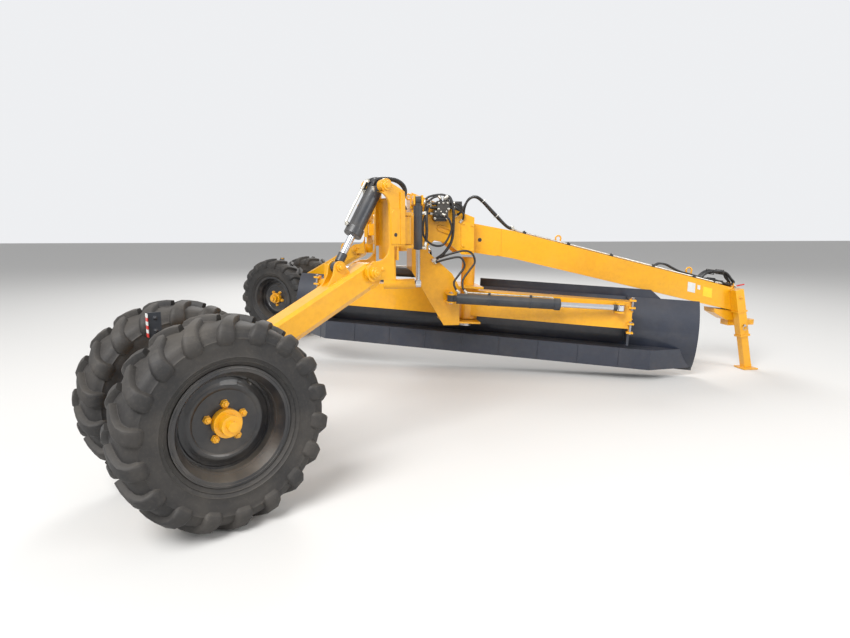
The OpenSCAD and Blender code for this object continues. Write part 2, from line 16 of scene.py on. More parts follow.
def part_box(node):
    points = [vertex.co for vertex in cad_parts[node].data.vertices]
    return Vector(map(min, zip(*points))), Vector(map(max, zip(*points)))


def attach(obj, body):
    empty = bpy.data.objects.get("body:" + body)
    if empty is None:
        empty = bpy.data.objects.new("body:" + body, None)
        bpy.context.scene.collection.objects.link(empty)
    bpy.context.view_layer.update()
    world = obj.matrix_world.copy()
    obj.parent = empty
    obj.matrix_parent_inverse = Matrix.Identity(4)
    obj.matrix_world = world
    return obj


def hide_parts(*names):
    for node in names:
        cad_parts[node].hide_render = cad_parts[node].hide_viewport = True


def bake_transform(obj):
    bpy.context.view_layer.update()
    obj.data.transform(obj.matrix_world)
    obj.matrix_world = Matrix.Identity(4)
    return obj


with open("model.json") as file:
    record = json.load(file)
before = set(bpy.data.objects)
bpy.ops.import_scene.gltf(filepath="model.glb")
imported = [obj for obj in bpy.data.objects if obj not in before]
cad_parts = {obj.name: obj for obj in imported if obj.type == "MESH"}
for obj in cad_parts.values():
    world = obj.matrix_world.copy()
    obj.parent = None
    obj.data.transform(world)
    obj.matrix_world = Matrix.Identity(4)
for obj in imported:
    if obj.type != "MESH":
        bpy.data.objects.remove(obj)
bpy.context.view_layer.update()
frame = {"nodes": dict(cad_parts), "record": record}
nodes = frame["nodes"]

# %% [markdown]
# ## Shader maths as plain expressions
# Weathering is arithmetic on masks: dust where a face looks up, grime where noise is high. Node links
# made by hand are hard to read, so one small class wraps a socket and lets Python's own operators add
# the Math nodes. Colours never pass through Math nodes, which would turn them grey.

# %% A socket that understands arithmetic
class Value:
    def __init__(self, tree, socket):
        self.tree = tree
        self.socket = socket

    def node(self, kind, settings=None, out=0, **values):
        """Adds any node: its settings first, then the values or links of its sockets."""
        made = self.tree.nodes.new(kind)
        for key, setting in (settings or {}).items():
            setattr(made, key, setting)
        for key, value in values.items():
            numbered = key.startswith("in") and key[2:].isdigit()
            socket = made.inputs[int(key[2:]) if numbered else key.replace("_", " ")]
            if isinstance(value, Value):
                self.tree.links.new(value.socket, socket)
            else:
                socket.default_value = value
        return Value(self.tree, made.outputs[out])

    def maths(self, operation, first, second=0.0, clamp=False):
        return self.node("ShaderNodeMath", {"operation": operation, "use_clamp": clamp},
                         in0=first, in1=second)

    def __add__(self, other):
        return self.maths("ADD", self, other)

    __radd__ = __add__

    def __mul__(self, other):
        return self.maths("MULTIPLY", self, other)

    __rmul__ = __mul__

    def __sub__(self, other):
        return self.maths("SUBTRACT", self, other)

    def __rsub__(self, other):
        return self.maths("SUBTRACT", other, self)

    def between(self, low, high):
        """0 below low, 1 above high, straight between."""
        return self.node("ShaderNodeMapRange", {"clamp": True}, in0=self, in1=low, in2=high)

    def blend(self, first, second):
        """Mixes two colours with this value as the factor."""
        return self.node("ShaderNodeMix", {"data_type": "RGBA", "clamp_factor": True}, out=2,
                         in0=self, in6=first, in7=second)


def colour(red, green, blue):
    return (red, green, blue, 1.0)


print("Value wraps a socket; 1 - mask, a * b and mask.blend(c, d) all add nodes")

# %% [markdown]
# ## Starting a finish
# Every finish begins with one Principled shader, the object's own coordinates in metres, which its
# noises read, and the surface's direction, by which dust finds what faces up. A Bevel node rounds the
# light on edges that the solids leave sharp, as paint does over a real plate's edge.

# %% Start a material
class Finish:
    def __init__(self, name, roughness=0.5, metallic=0.0, coat=0.0, edge=0.003):
        self.material = bpy.data.materials.new(name)
        self.material.use_nodes = True
        tree = self.material.node_tree
        self.shader = tree.nodes["Principled BSDF"]
        self.tree = tree
        self.start = Value(tree, None)
        coordinates = tree.nodes.new("ShaderNodeTexCoord")
        self.place = Value(tree, coordinates.outputs["Object"])
        geometry = tree.nodes.new("ShaderNodeNewGeometry")
        self.normal = Value(tree, geometry.outputs["True Normal"])
        self.shader.inputs["Roughness"].default_value = roughness
        self.shader.inputs["Metallic"].default_value = metallic
        self.shader.inputs["Coat Weight"].default_value = coat
        self.edge = edge

    def noise(self, scale, detail=4.0, roughness=0.55):
        return self.start.node("ShaderNodeTexNoise", {}, Vector=self.place, Scale=scale,
                               Detail=detail, Roughness=roughness)

    def up(self):
        """1 where the surface faces up, 0 where it faces sideways or down."""
        split = self.start.node("ShaderNodeSeparateXYZ", out=2, Vector=self.normal)
        return split.between(0.2, 0.9)

    def feed(self, **links):
        for key, value in links.items():
            socket = self.shader.inputs[key.replace("_", " ")]
            if isinstance(value, Value):
                self.tree.links.new(value.socket, socket)
            else:
                socket.default_value = value

    def bump(self, height, distance, strength=1.0):
        soft_edge = self.start.node("ShaderNodeBevel", {"samples": 4}, Radius=self.edge)
        made = self.start.node("ShaderNodeBump", {}, Height=height, Distance=distance, Strength=strength,
                               Normal=soft_edge)
        self.feed(Normal=made)
        return self.material


print("Finish makes a Principled material with noises and a rounded edge")

# %% [markdown]
# ## Paints
# The machine is sprayed in a strong yellow. In use it gets a film of pale dust on what faces up, broad
# darker patches of grime and a slight orange peel. Noises of different size give that without any
# picture. The blade is sprayed blue-black. One function takes the two colours, the amount of dust, the
# roughness and the clear coat, so that all the paints age in the same way.

# %% Painted steel
def paint(name, main, dark, dust_amount, roughness, coat):
    f = Finish(name, coat=coat)
    broad = f.noise(1.3, 3.0)
    fine = f.noise(24.0, 6.0, 0.65)
    grime = (broad * 0.6 + fine * 0.5).between(0.48, 0.78)
    dust = (f.up() * 0.55 + f.noise(5.0, 5.0).between(0.45, 0.75) * 0.45) * dust_amount
    shade = (grime * 0.55).blend(main, dark)
    shade = dust.blend(shade, colour(0.50, 0.42, 0.32))
    f.feed(Base_Color=shade, Roughness=dust * 0.4 + fine * 0.12 + roughness)
    return f.bump(f.noise(90.0, 2.0) + f.noise(7.0, 3.0) * 0.6, 0.0006, 0.35)


yellow_paint = paint("yellow_paint", colour(0.84, 0.40, 0.003), colour(0.53, 0.21, 0.003),
                     dust_amount=0.06, roughness=0.28, coat=0.40)
blade_paint = paint("blade_paint", colour(0.024, 0.030, 0.048), colour(0.010, 0.012, 0.018),
                    dust_amount=0.08, roughness=0.28, coat=0.35)
cylinder_paint = paint("cylinder_paint", colour(0.030, 0.034, 0.042), colour(0.010, 0.011, 0.013),
                       dust_amount=0.16, roughness=0.36, coat=0.15)
rim_paint = paint("rim_paint", colour(0.014, 0.014, 0.016), colour(0.006, 0.006, 0.007),
                  dust_amount=0.22, roughness=0.30, coat=0.3)
edge_steel = paint("edge_steel", colour(0.045, 0.045, 0.050), colour(0.016, 0.016, 0.018),
                   dust_amount=0.20, roughness=0.42, coat=0.0)
valve_paint = paint("valve_paint", colour(0.020, 0.020, 0.020), colour(0.008, 0.008, 0.008),
                    dust_amount=0.20, roughness=0.45, coat=0.1)
print("paints made:", yellow_paint.name, blade_paint.name, cylinder_paint.name, rim_paint.name)

# %% [markdown]
# ## Bare metals and rubber
# Cylinder rods are ground and hard-chromed: nearly a mirror, faintly clouded. Pins are turned steel.
# Tyres are old farm rubber, grey-brown under a film of dust, and hoses are smooth with a light sheen.
# One table keeps every finish under the name of its CAD slot.

# %% Metals and rubbers
def chrome():
    f = Finish("rod_chrome", 0.12, 1.0)
    streak = f.noise(30.0, 3.0)
    f.feed(Base_Color=streak.blend(colour(0.78, 0.79, 0.81), colour(0.62, 0.63, 0.66)),
           Roughness=streak * 0.10 + 0.08)
    return f.bump(streak, 0.0002, 0.1)


def pin_steel():
    f = Finish("pin_steel", 0.35, 1.0)
    mottled = f.noise(18.0, 5.0)
    f.feed(Base_Color=mottled.between(0.4, 0.7).blend(colour(0.50, 0.50, 0.52), colour(0.28, 0.26, 0.25)),
           Roughness=mottled * 0.3 + 0.22)
    return f.bump(f.noise(120.0, 2.0), 0.0003, 0.3)


def tyre_rubber():
    f = Finish("tyre_rubber", 0.85, edge=0.004)
    broad = f.noise(3.0, 4.0)
    fine = f.noise(60.0, 6.0, 0.7)
    dust = (f.up() * 0.35 + broad.between(0.40, 0.68) * 0.5 + fine.between(0.5, 0.75) * 0.30) * 0.40
    f.feed(Base_Color=dust.blend(colour(0.017, 0.016, 0.016), colour(0.19, 0.165, 0.135)),
           Roughness=dust * 0.25 + 0.62)
    return f.bump(fine + f.noise(9.0, 4.0) * 0.8, 0.0014, 0.6)


def hose_rubber():
    f = Finish("hose_rubber", 0.42, edge=0.001)
    fine = f.noise(80.0, 4.0)
    f.feed(Base_Color=fine.between(0.5, 0.8).blend(colour(0.014, 0.014, 0.015), colour(0.05, 0.045, 0.04)),
           Roughness=fine * 0.2 + 0.32)
    return f.bump(fine, 0.0004, 0.3)


finish_of = {
    "frame_paint": yellow_paint, "blade_paint": blade_paint, "cylinder_paint": cylinder_paint,
    "rod_chrome": chrome(), "pin_steel": pin_steel(), "edge_steel": edge_steel,
    "tyre_rubber": tyre_rubber(), "rim_paint": rim_paint, "valve_paint": valve_paint,
    "hose_rubber": hose_rubber(),
}
print("finishes:", ", ".join(sorted(finish_of)))

# %% [markdown]
# ## Dress the CAD solids
# The solids' shapes are right, so they stay and only their material slots change. The record says
# which slot each node takes its finish from.

# %% Finish every CAD node
for part in frame["record"]["subparts"]:
    node = nodes[part["node"]]
    node.data.materials.clear()
    node.data.materials.append(finish_of[part["material_slot"]])
print("finished", len(nodes), "nodes")

# %% [markdown]
# ## Drawing boards
# The machine was drawn in millimetres from a few handy places: the middle plane over the ground, the
# leaning swing pin, the blade that hangs on it, and each wheel bracket. A board is a matrix that
# carries such a place to the frame's metres, so every fitting can be put where the CAD has its steel.
# The left bracket's board is the right one's mirror image.

# %% Boards in millimetres
millimetre = Matrix.Scale(0.001, 4)
ground_place = (-3.440, 0.0, -0.520)
swing_foot, swing_lean, blade_turn = (0.0, 0.0, 0.815), 3.0, -20.5
bracket_place, bracket_toe = (-0.886, -1.995, 0.0), 33.0


def turned_by(degrees, axis):
    return Matrix.Rotation(math.radians(degrees), 4, axis)


ground = Matrix.Translation(ground_place)
machine_board = ground @ millimetre
swing = ground @ Matrix.Translation(swing_foot) @ turned_by(swing_lean, "Y")
swing_board = swing @ millimetre
blade_board = swing @ turned_by(blade_turn, "Z") @ millimetre
right_board = ground @ Matrix.Translation(bracket_place) @ turned_by(bracket_toe, "Z") @ millimetre
mirror = Matrix.Diagonal((1.0, -1.0, 1.0, 1.0))
bracket_board = {"right": right_board, "left": mirror @ right_board}
print("swing pin foot", [round(v, 3) for v in swing_board @ Vector((0, 0, 0))])

# %% [markdown]
# ## One workbench for small parts
# Bolts, hoses, clamps and weld beads are all skins stretched over rings of points. The workbench class
# gathers such skins in one mesh, so a whole row of bolts is one object. A turned form takes a profile
# of distance and radius, a tube follows a line, and a slab lifts an outline.

# %% The workbench
def ring_angles(sides):
    return [2 * math.pi * k / sides for k in range(sides)]


class Workbench:
    def __init__(self, board):
        self.board = board
        self.mesh = bmesh.new()

    def skin(self, rings):
        """Joins rings of points with faces and closes both ends."""
        made = [[self.mesh.verts.new(point) for point in ring] for ring in rings]
        for near, far in zip(made, made[1:]):
            for k in range(len(near)):
                m = (k + 1) % len(near)
                self.mesh.faces.new((near[k], near[m], far[m], far[k]))
        self.mesh.faces.new(list(reversed(made[0])))
        self.mesh.faces.new(made[-1])

    def turned(self, place, axis, profile, sides=24):
        """A lathe form: profile lists (distance along the axis, radius)."""
        turn = Vector(axis).to_track_quat("Z", "Y").to_matrix()
        self.skin([[Vector(place) + turn @ Vector((radius * math.cos(a), radius * math.sin(a), along))
                    for a in ring_angles(sides)] for along, radius in profile])

    def tube(self, line, radius, sides=12, ripple=0.0):
        """A tube along a line of points; ripple swells every other ring, as a weld bead does."""
        line = [Vector(point) for point in line]
        rings = []
        across = None
        for i, point in enumerate(line):
            ahead = (line[min(i + 1, len(line) - 1)] - line[max(i - 1, 0)]).normalized()
            across = ahead.orthogonal() if across is None else across - ahead * across.dot(ahead)
            across.normalize()
            beside = ahead.cross(across)
            size = radius * (1 + ripple * (i % 2))
            rings.append([point + (across * math.cos(a) + beside * math.sin(a)) * size
                          for a in ring_angles(sides)])
        self.skin(rings)

    def slab(self, outline, lift):
        """An outline of points, lifted by a vector, its upper rim drawn in a little."""
        outline = [Vector(point) for point in outline]
        lift = Vector(lift)
        middle = sum(outline, Vector()) / len(outline)
        rim = min(0.3 * lift.length, 1.5)
        inset = [point + (middle - point).normalized() * rim for point in outline]
        self.skin([outline, [point + lift * 0.75 for point in outline], [point + lift for point in inset]])

    def bolt(self, place, axis, size=11.0):
        """A hexagon head on a washer, with the bolt's rounded tip; size is the head's outer radius."""
        washer = [(-1, size * 1.4), (2.2, size * 1.4), (2.6, size * 1.3)]
        head = [(1, size), (size * 0.72, size), (size * 0.85, size * 0.86)]
        tip = [(0, size * 0.5), (size * 1.15, size * 0.5), (size * 1.25, size * 0.4)]
        self.turned(place, axis, washer, 20)
        self.turned(place, axis, head, 6)
        self.turned(place, axis, tip, 12)

    def done(self, name, body, finish, sharp=32):
        """Makes the object, gives it its finish and lets it ride on a body, where one is given."""
        self.mesh.transform(self.board)
        bmesh.ops.recalc_face_normals(self.mesh, faces=self.mesh.faces)
        data = bpy.data.meshes.new(name)
        self.mesh.to_mesh(data)
        self.mesh.free()
        data.polygons.foreach_set("use_smooth", [True] * len(data.polygons))
        data.set_sharp_from_angle(angle=math.radians(sharp))
        data.materials.append(finish_of[finish])
        made = bpy.data.objects.new(name, data)
        bpy.context.scene.collection.objects.link(made)
        if body:
            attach(made, body)
        return made


def through(points, steps=6):
    """Points on a smooth curve through the given ones, for the line of a hose."""
    points = [Vector(point) for point in points]
    line = []
    for i in range(len(points) - 1):
        a, b, c, d = points[max(i - 1, 0)], points[i], points[i + 1], points[min(i + 2, len(points) - 1)]
        for k in range(steps):
            t = k / steps
            line.append(0.5 * (2 * b + (c - a) * t + (2 * a - 5 * b + 4 * c - d) * t * t
                               + (3 * b - a - 3 * c + d) * t ** 3))
    return line + [points[-1]]


print("workbench ready: turned, tube, slab, bolt")

# %% [markdown]
# ## Fittings at a hose's ends
# A hydraulic hose is crimped into a steel ferrule and screwed on with a hexagon nut. Both are zinc
# plated, which photographs as a pale, slightly golden silver, so they get a finish of their own.

# %% Zinc, and a crimped end
def zinc():
    f = Finish("zinc_plate", 0.3, 0.9)
    cloudy = f.noise(35.0, 4.0)
    f.feed(Base_Color=cloudy.between(0.4, 0.7).blend(colour(0.74, 0.72, 0.66), colour(0.50, 0.47, 0.40)),
           Roughness=cloudy * 0.2 + 0.24)
    return f.bump(f.noise(150.0, 2.0), 0.0002, 0.2)


finish_of["zinc_plate"] = zinc()


def crimp(bench, line, r):
    """A ferrule and nut on the last point of a hose's line; r is the hose's radius."""
    ahead = (line[-1] - line[-2]).normalized()
    start = line[-1] - ahead * r * 3.2
    ferrule = [(0, r * 1.05), (1, r * 1.3), (r * 0.8, r * 1.38), (r * 1.0, r * 1.25),
               (r * 1.6, r * 1.38), (r * 1.8, r * 1.25), (r * 2.4, r * 1.38), (r * 2.6, r)]
    nut = [(0, r * 0.8), (1, r * 1.45), (r * 1.1, r * 1.45), (r * 1.25, r * 1.2)]
    bench.turned(start, ahead, ferrule, 20)
    bench.turned(start + ahead * r * 2.5, ahead, nut, 6)


def hose_end(board, line, radius, name, body, port=None):
    """A crimped end as a piece of its own, with a turned port under it where a profile is given."""
    bench = Workbench(board)
    crimp(bench, line, radius)
    if port:
        bench.turned(line[-1], (0, 0, -1), port, 16)
    bench.done(name, body, "zinc_plate")


print("zinc fittings ready")

# %% [markdown]
# ## Hoses of the tower
# The valve block sits on the tower's side and its hoses stand in loops above and beside it. Their lines
# were read off the photograph as points in an upright plane next to the plate, and the arcs above it
# were drawn lower, so that nothing stands higher than the solids. All of them hang on the main frame,
# where both ends are fixed. A curve through a few points is enough to draw a hose.

# %% Hoses round the valve block
hose_radius, thick_radius = 11, 15
hose_lines = {
    "loop": [(-425, -350, 1770), (-500, -372, 1764), (-533, -398, 1657), (-522, -402, 1536),
             (-430, -400, 1454), (-320, -398, 1462), (-243, -402, 1600), (-258, -418, 1690),
             (-300, -424, 1746), (-330, -398, 1764)],
    "drop": [(-303, -335, 1924), (-262, -350, 1944), (-226, -368, 1860), (-216, -372, 1700),
             (-232, -370, 1505), (-300, -350, 1380), (-372, -318, 1318), (-420, -294, 1290)],
    "arc_high": [(-512, -292, 1880), (-476, -296, 1936), (-390, -304, 1962), (-306, -320, 1962),
                 (-270, -335, 1924)],
    "arc_low": [(-486, -292, 1852), (-456, -300, 1904), (-410, -312, 1938), (-366, -328, 1946),
                (-345, -335, 1924)],
    "side_high": [(-230, -335, 1874), (-178, -352, 1878), (-128, -362, 1840), (-140, -348, 1786),
                  (-192, -296, 1744)],
    "side_low": [(-230, -335, 1832), (-176, -350, 1826), (-112, -345, 1776), (-104, -318, 1726),
                 (-130, -294, 1688)],
}
hose_bench = Workbench(machine_board)
fitting_bench = Workbench(machine_board)
for key, points in hose_lines.items():
    radius = thick_radius if key == "drop" else hose_radius
    line = through(points)
    hose_bench.tube(line, radius, 14)
    crimp(fitting_bench, line[::-1], radius)
    crimp(fitting_bench, line, radius)
hose_bench.done("valve_hoses", "frame", "hose_rubber")
fitting_bench.done("valve_hose_fittings", "frame", "zinc_plate")
print("hoses round the valve block:", len(hose_lines))

# %% [markdown]
# ## Hoses up the tower and down to the beam
# A bundle climbs out of the tower's middle, bends over at the top and runs down to the steel pipes on
# the beam, under two steel straps. Real bundles are never quite parallel, so each hose gets its own
# place across the bundle and a slightly different rise.

# %% The tall bundle
tall_bench = Workbench(machine_board)
tall_fittings = Workbench(machine_board)
tall_radius = 10
bundle_middle = -60
for i, (side, rise) in enumerate([(-24, 0), (0, 26), (24, -14), (48, 10)]):
    y = bundle_middle + side
    line = through([(-44 - i * 6, y + 60, 1752), (-34, y + 40, 1850 + rise * 0.3),
                    (2 + i * 4, y + 20, 1930 + rise * 0.3), (70, y, 1958 + rise * 0.3),
                    (146, y - 10, 1918 + rise * 0.4), (290, y - 14, 1772 + rise * 0.6),
                    (430, y - 20, 1640 + rise * 0.3), (500, -101 + i * 20, 1612 + (i % 2) * 24)])
    tall_bench.tube(line, tall_radius, 12)
    crimp(tall_fittings, line, tall_radius)
tall_bench.done("tall_hoses", "frame", "hose_rubber")
strap_right, strap_left = -112, -8
for x, z in [(150, 1924), (300, 1766)]:
    back, front = (x - 10, z - 26), (x + 22, z - 6)
    tall_fittings.slab([(back[0], strap_right, back[1]), (front[0], strap_right, front[1]),
                        (front[0], strap_left, front[1]), (back[0], strap_left, back[1])], (8, 0, 14))
tall_fittings.done("tall_hose_fittings", "frame", "zinc_plate")
print("tall hoses: 4")

# %% [markdown]
# ## Plates with rounded edges
# Brackets are burnt out of thick plate. A plate here is an outline lifted by its thickness; a Bevel
# modifier on the finished object then rounds every edge a little, which is what catches the light on
# painted steel. Round bosses and pins go into the same mesh.

# %% Plates, and a bevel for a finished piece
def plate(bench, outline, y, thickness):
    """An upright plate: outline is (x, z) points, y its middle."""
    low = [Vector((x, y - thickness / 2, z)) for x, z in outline]
    bench.skin([low, [point + Vector((0, thickness, 0)) for point in low]])


def block(bench, low, high):
    """A square block between two corners."""
    (x0, y0, z0), (x1, y1, z1) = low, high
    bench.skin([[Vector((x0, y0, z0)), Vector((x1, y0, z0)), Vector((x1, y1, z0)), Vector((x0, y1, z0))],
                [Vector((x0, y0, z1)), Vector((x1, y0, z1)), Vector((x1, y1, z1)), Vector((x0, y1, z1))]])


def arc(x, z, radius, start, end, steps=10):
    """Points on an arc in the X and Z plane, in degrees from X towards Z."""
    turns = [math.radians(start + (end - start) * k / steps) for k in range(steps + 1)]
    return [(x + radius * math.cos(a), z + radius * math.sin(a)) for a in turns]


def at_side(outline, y):
    """Sets (x, z) points at a distance y from the middle plane."""
    return [(x, y, z) for x, z in outline]


def rounded(made, width=0.003, segments=2):
    """Rounds a piece's edges with a Bevel modifier."""
    bevel = made.modifiers.new("edges", "BEVEL")
    bevel.width = width
    bevel.segments = segments
    bevel.limit_method = "ANGLE"
    bevel.angle_limit = math.radians(38)
    bevel.harden_normals = True


print("plates and blocks ready")

# %% [markdown]
# ## The cheek of a wheel bracket
# Each bracket is two cheek plates with a deep C cut into their back edge, so that the lift cylinder can
# swing between them. The outer plate's foot is set back. An outline made of arcs and corners is all
# that such a plate needs. These forms follow the photograph closer than the CAD bracket, which stays
# for contact.

# %% The cheek's outline
arm_pin = (-330, 1320)
horn = (-222, 1918)
cheek_y = 112
cheek_thickness = 20


def cheek_outline(window, front, foot):
    """A cheek's side: how far behind its upright pin the C's inner edge, the front and the foot stand."""
    x, z = arm_pin
    top, low, r = horn[1] - 44, z + 80, 100
    root = arc(x, z, 64, 100, 255, 14) + [(x + 45, z - 52)]
    front_edge = [(-foot, z - 50), (-foot, z + 178), (-front, z + 178), (-front, horn[1] - 36)]
    head = [(horn[0] + 40, horn[1] + 20)] + arc(horn[0], horn[1], 48, 32, 196, 12) + [(horn[0] - 18, top)]
    cut = [(-window - 30, top)] + arc(-window - r, top - r, r, 90, 0, 8)
    cut += arc(-window - r, low + r, r, 0, -90, 8) + [(-window - r - 40, low), (x - 28, z + 62)]
    return root + front_edge + head + cut


outer_cheek = cheek_outline(196, 62, 160)
inner_cheek = cheek_outline(160, 104, 160)
print("corners of a cheek:", len(outer_cheek))

# %% [markdown]
# ## Wheel brackets
# A welded web closes the bracket's front, a strip doubles the outer plate's front edge, and stepped
# pins with keeper rings hold the arm below and the cylinder above. Each step of a pin is a short turned
# form, so a list of steps draws both pins on both sides.

# %% Plates, web and pins of a bracket
front_strip = [(-108, 1512), (-66, 1512), (-66, 1850), (-84, 1880), (-108, 1880)]
side_pad = [(-188, 1514), (-108, 1514), (-108, 1756), (-164, 1756), (-188, 1720)]
web = ((-128, -cheek_y, 1400), (-112, cheek_y, 1840))
hub_arm = ((-120, -60, 1512), (-10, 60, 1708))
hub_foot, hub = (0, 0, 1510), [(0, 70), (200, 70)]
pin_steps = [(arm_pin, cheek_y + 9, [(0, 42), (20, 42), (24, 38)], 36),
             (arm_pin, cheek_y + 30, [(0, 29), (14, 29), (18, 25)], 30),
             (arm_pin, cheek_y + 44, [(0, 13), (10, 13), (12, 10)], 6),
             (horn, cheek_y + 9, [(0, 34), (12, 34), (15, 31)], 32),
             (horn, cheek_y + 22, [(0, 20), (12, 20), (14, 17)], 6),
             (horn, 64, [(0, 42), (cheek_y - 72, 42)], 32)]

for side in ("right", "left"):
    bench = Workbench(bracket_board[side])
    plate(bench, outer_cheek, -cheek_y, cheek_thickness)
    plate(bench, inner_cheek, cheek_y, cheek_thickness)
    plate(bench, front_strip, -cheek_y - 15, 9)
    plate(bench, side_pad, -cheek_y - 12, 7)
    block(bench, *web)
    block(bench, *hub_arm)
    bench.turned(hub_foot, (0, 0, 1), hub, 40)
    for s in (-1, 1):
        rib_edges = sorted((s * 50, s * cheek_y))
        block(bench, (-122, rib_edges[0], 1550), (-62, rib_edges[1], 1670))
        for (x, z), y, profile, sides in pin_steps:
            bench.turned((x, s * y, z), (0, s, 0), profile, sides)
        bench.bolt((arm_pin[0] + 70, s * (cheek_y + 10), arm_pin[1] + 22), (0, s, 0), 12)
    for (x, z), radius in ((horn, 26), (arm_pin, 30)):
        bench.turned((x, -cheek_y, z), (0, 1, 0), [(0, radius), (2 * cheek_y, radius)], 28)
    made = bench.done("%s_bracket_plates" % side, "%s_bracket_body" % side, "frame_paint")
    rounded(made)
    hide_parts("%s_bracket" % side)
    # A thin dark disc on the outer plate's pad is painted shade: it stands for the dark inside of a hole.
    bracket_shade_disc = Workbench(bracket_board[side])
    bracket_shade_disc.turned((-150, -cheek_y - 15.2, 1580), (0, -1, 0), [(0, 14), (0.8, 14), (0.9, 12)], 28)
    bracket_shade_disc.done("%s_bracket_hole_shade" % side, "%s_bracket_body" % side, "valve_paint")
print("brackets built: 2")

# %% [markdown]
# ## Wheel arms
# The arm is a box folded with narrow chamfers on top and wide bevels below. Its root is round where it
# turns between the cheeks, its ears for the lift cylinder run down the top in one long slope, and a
# thin upright behind the axle carries the marker plate.

# %% Arm, ears and upright
axle = (-1530, 590)
arm_root = (arm_pin[0], arm_pin[1] - 25)
arm_run, arm_drop = arm_root[0] - axle[0], arm_root[1] - axle[1] - 100
arm_slope = math.atan2(arm_drop, arm_run)
arm_length = math.hypot(arm_run, arm_drop)


def arm_section(along):
    """The arm's cross section at a distance from its root, in the arm's own lean."""
    w, h, chamfer, bevel = 88, 96, 20, 42
    half = [(w - chamfer, h), (w, h - chamfer), (w, bevel - h), (w - bevel, -h)]
    points = [(chamfer - w, h)] + half + [(-y, z) for y, z in reversed(half[1:])]
    base = Vector((arm_root[0], 0, arm_root[1]))
    back = Vector((-math.cos(arm_slope), 0, -math.sin(arm_slope)))
    up = Vector((-math.sin(arm_slope), 0, math.cos(arm_slope)))
    return [base + back * along + Vector((0, y, 0)) + up * z for y, z in points]


lug_x, lug_z = arm_pin[0] - 232, 1364
ear_corners = [(-54, -50), (-98, -124), (-98, -168), (84, -104), (84, -48)]
ear = [(lug_x + x, lug_z + z) for x, z in arc(0, 0, 44, 10, 170, 12) + ear_corners]
upright = [(-1580, 650), (-1500, 680), (-1722, 1030), (-1722, 1162), (-1764, 1162), (-1764, 1020)]

for side in ("right", "left"):
    bench = Workbench(bracket_board[side])
    bench.skin([arm_section(0), arm_section(arm_length + 55)])
    for (x, z), half, radius, sides in ((arm_root, 70, 92, 44), (arm_pin, 100, 60, 40), (axle, 130, 62, 36)):
        bench.turned((x, -half, z), (0, 1, 0), [(0, radius), (2 * half, radius)], sides)
    block(bench, (axle[0] - 60, -40, axle[1]), (axle[0] + 60, 40, axle[1] + 110))
    for s in (-1, 1):
        plate(bench, ear, s * 40, 16)
        bench.turned((lug_x, s * 48, lug_z), (0, s, 0), [(0, 30), (9, 30), (11, 28)], 28)
        bench.turned((lug_x, s * 58, lug_z), (0, s, 0), [(0, 18), (11, 18), (13, 15)], 6)
    plate(bench, upright, 0, 10)
    made = bench.done("%s_arm_box" % side, "%s_arm_body" % side, "frame_paint")
    rounded(made, 0.004, 3)
    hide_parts("%s_arm" % side)
    pin = Workbench(bracket_board[side])
    pin.turned((lug_x, -48, lug_z), (0, 1, 0), [(0, 22), (96, 22)], 24)
    pin.done("%s_lug_pin" % side, "%s_arm_body" % side, "pin_steel")
print("arm leans", round(math.degrees(arm_slope), 1), "degrees")

# %% [markdown]
# ## Lift cylinders
# A thick dark barrel with a larger gland, a steel pipe along its back between two ports, a chromed rod
# and a dark sleeve before the rod's eye. The pieces stand in for the CAD cylinder on the same bodies.

# %% Barrel, pipe and rod
lift_run = Vector((lug_x - horn[0], 0, lug_z - horn[1]))
lift_length = lift_run.length
lift_axis = lift_run.normalized()
lift_back = Vector((lift_axis.z, 0, -lift_axis.x))
pin_top = Vector((horn[0], 0, horn[1]))
barrel_profile = [(0, 50), (6, 56), (372, 56), (374, 57), (376, 64), (430, 64), (434, 61), (435, 34)]
lift_pipe = [(352, 84), (346, 90), (322, 92), (180, 92), (40, 92), (16, 90), (10, 84)]
lift_ports = (10, 352)


def lift_point(along, back, y=0.0):
    """A place on the lift cylinder: along its axis from the upper pin, behind it and beside it."""
    return pin_top + lift_axis * along + lift_back * back + Vector((0, y, 0))


for side in ("right", "left"):
    board = bracket_board[side]
    tube = Workbench(board)
    tube.turned(pin_top + Vector((0, -60, 0)), (0, 1, 0), [(0, 38), (2, 40), (118, 40), (120, 38)], 32)
    tube.turned(lift_point(-34, 0), lift_axis, barrel_profile, 48)
    pipe = Workbench(board)
    pipe.tube(through([lift_point(along, back) for along, back in lift_pipe]), 8.5, 14)
    pipe.turned(lift_point(62, 92), lift_axis, [(0, 12), (26, 12)], 6)
    for along in lift_ports:
        tube.turned(lift_point(along, 50), lift_back, [(0, 15), (20, 15), (22, 13), (30, 13)], 20)
        pipe.turned(lift_point(along, 74), lift_back, [(0, 16), (11, 16), (13, 12)], 6)
    made = tube.done("%s_lift_tube" % side, "%s_lift_barrel_body" % side, "cylinder_paint")
    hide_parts("%s_lift_barrel" % side)
    pipe.done("%s_lift_pipe" % side, "%s_lift_barrel_body" % side, "zinc_plate")
    rod = Workbench(board)
    rod.turned(lift_point(200, 0), lift_axis, [(0, 25), (lift_length - 236, 25)], 36)
    made = rod.done("%s_lift_chrome" % side, "%s_lift_rod_body" % side, "rod_chrome")
    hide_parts("%s_lift_rod" % side)
    eye = Workbench(board)
    eye.turned(lift_point(lift_length - 106, 0), lift_axis, [(0, 30), (2, 32), (64, 32), (70, 28)], 32)
    eye.turned(lift_point(lift_length, 0, -26), (0, 1, 0), [(0, 36), (2, 38), (50, 38), (52, 36)], 32)
    eye.done("%s_lift_eye" % side, "%s_lift_rod_body" % side, "cylinder_paint")
print("lift cylinders:", round(lift_length), "mm between pins")

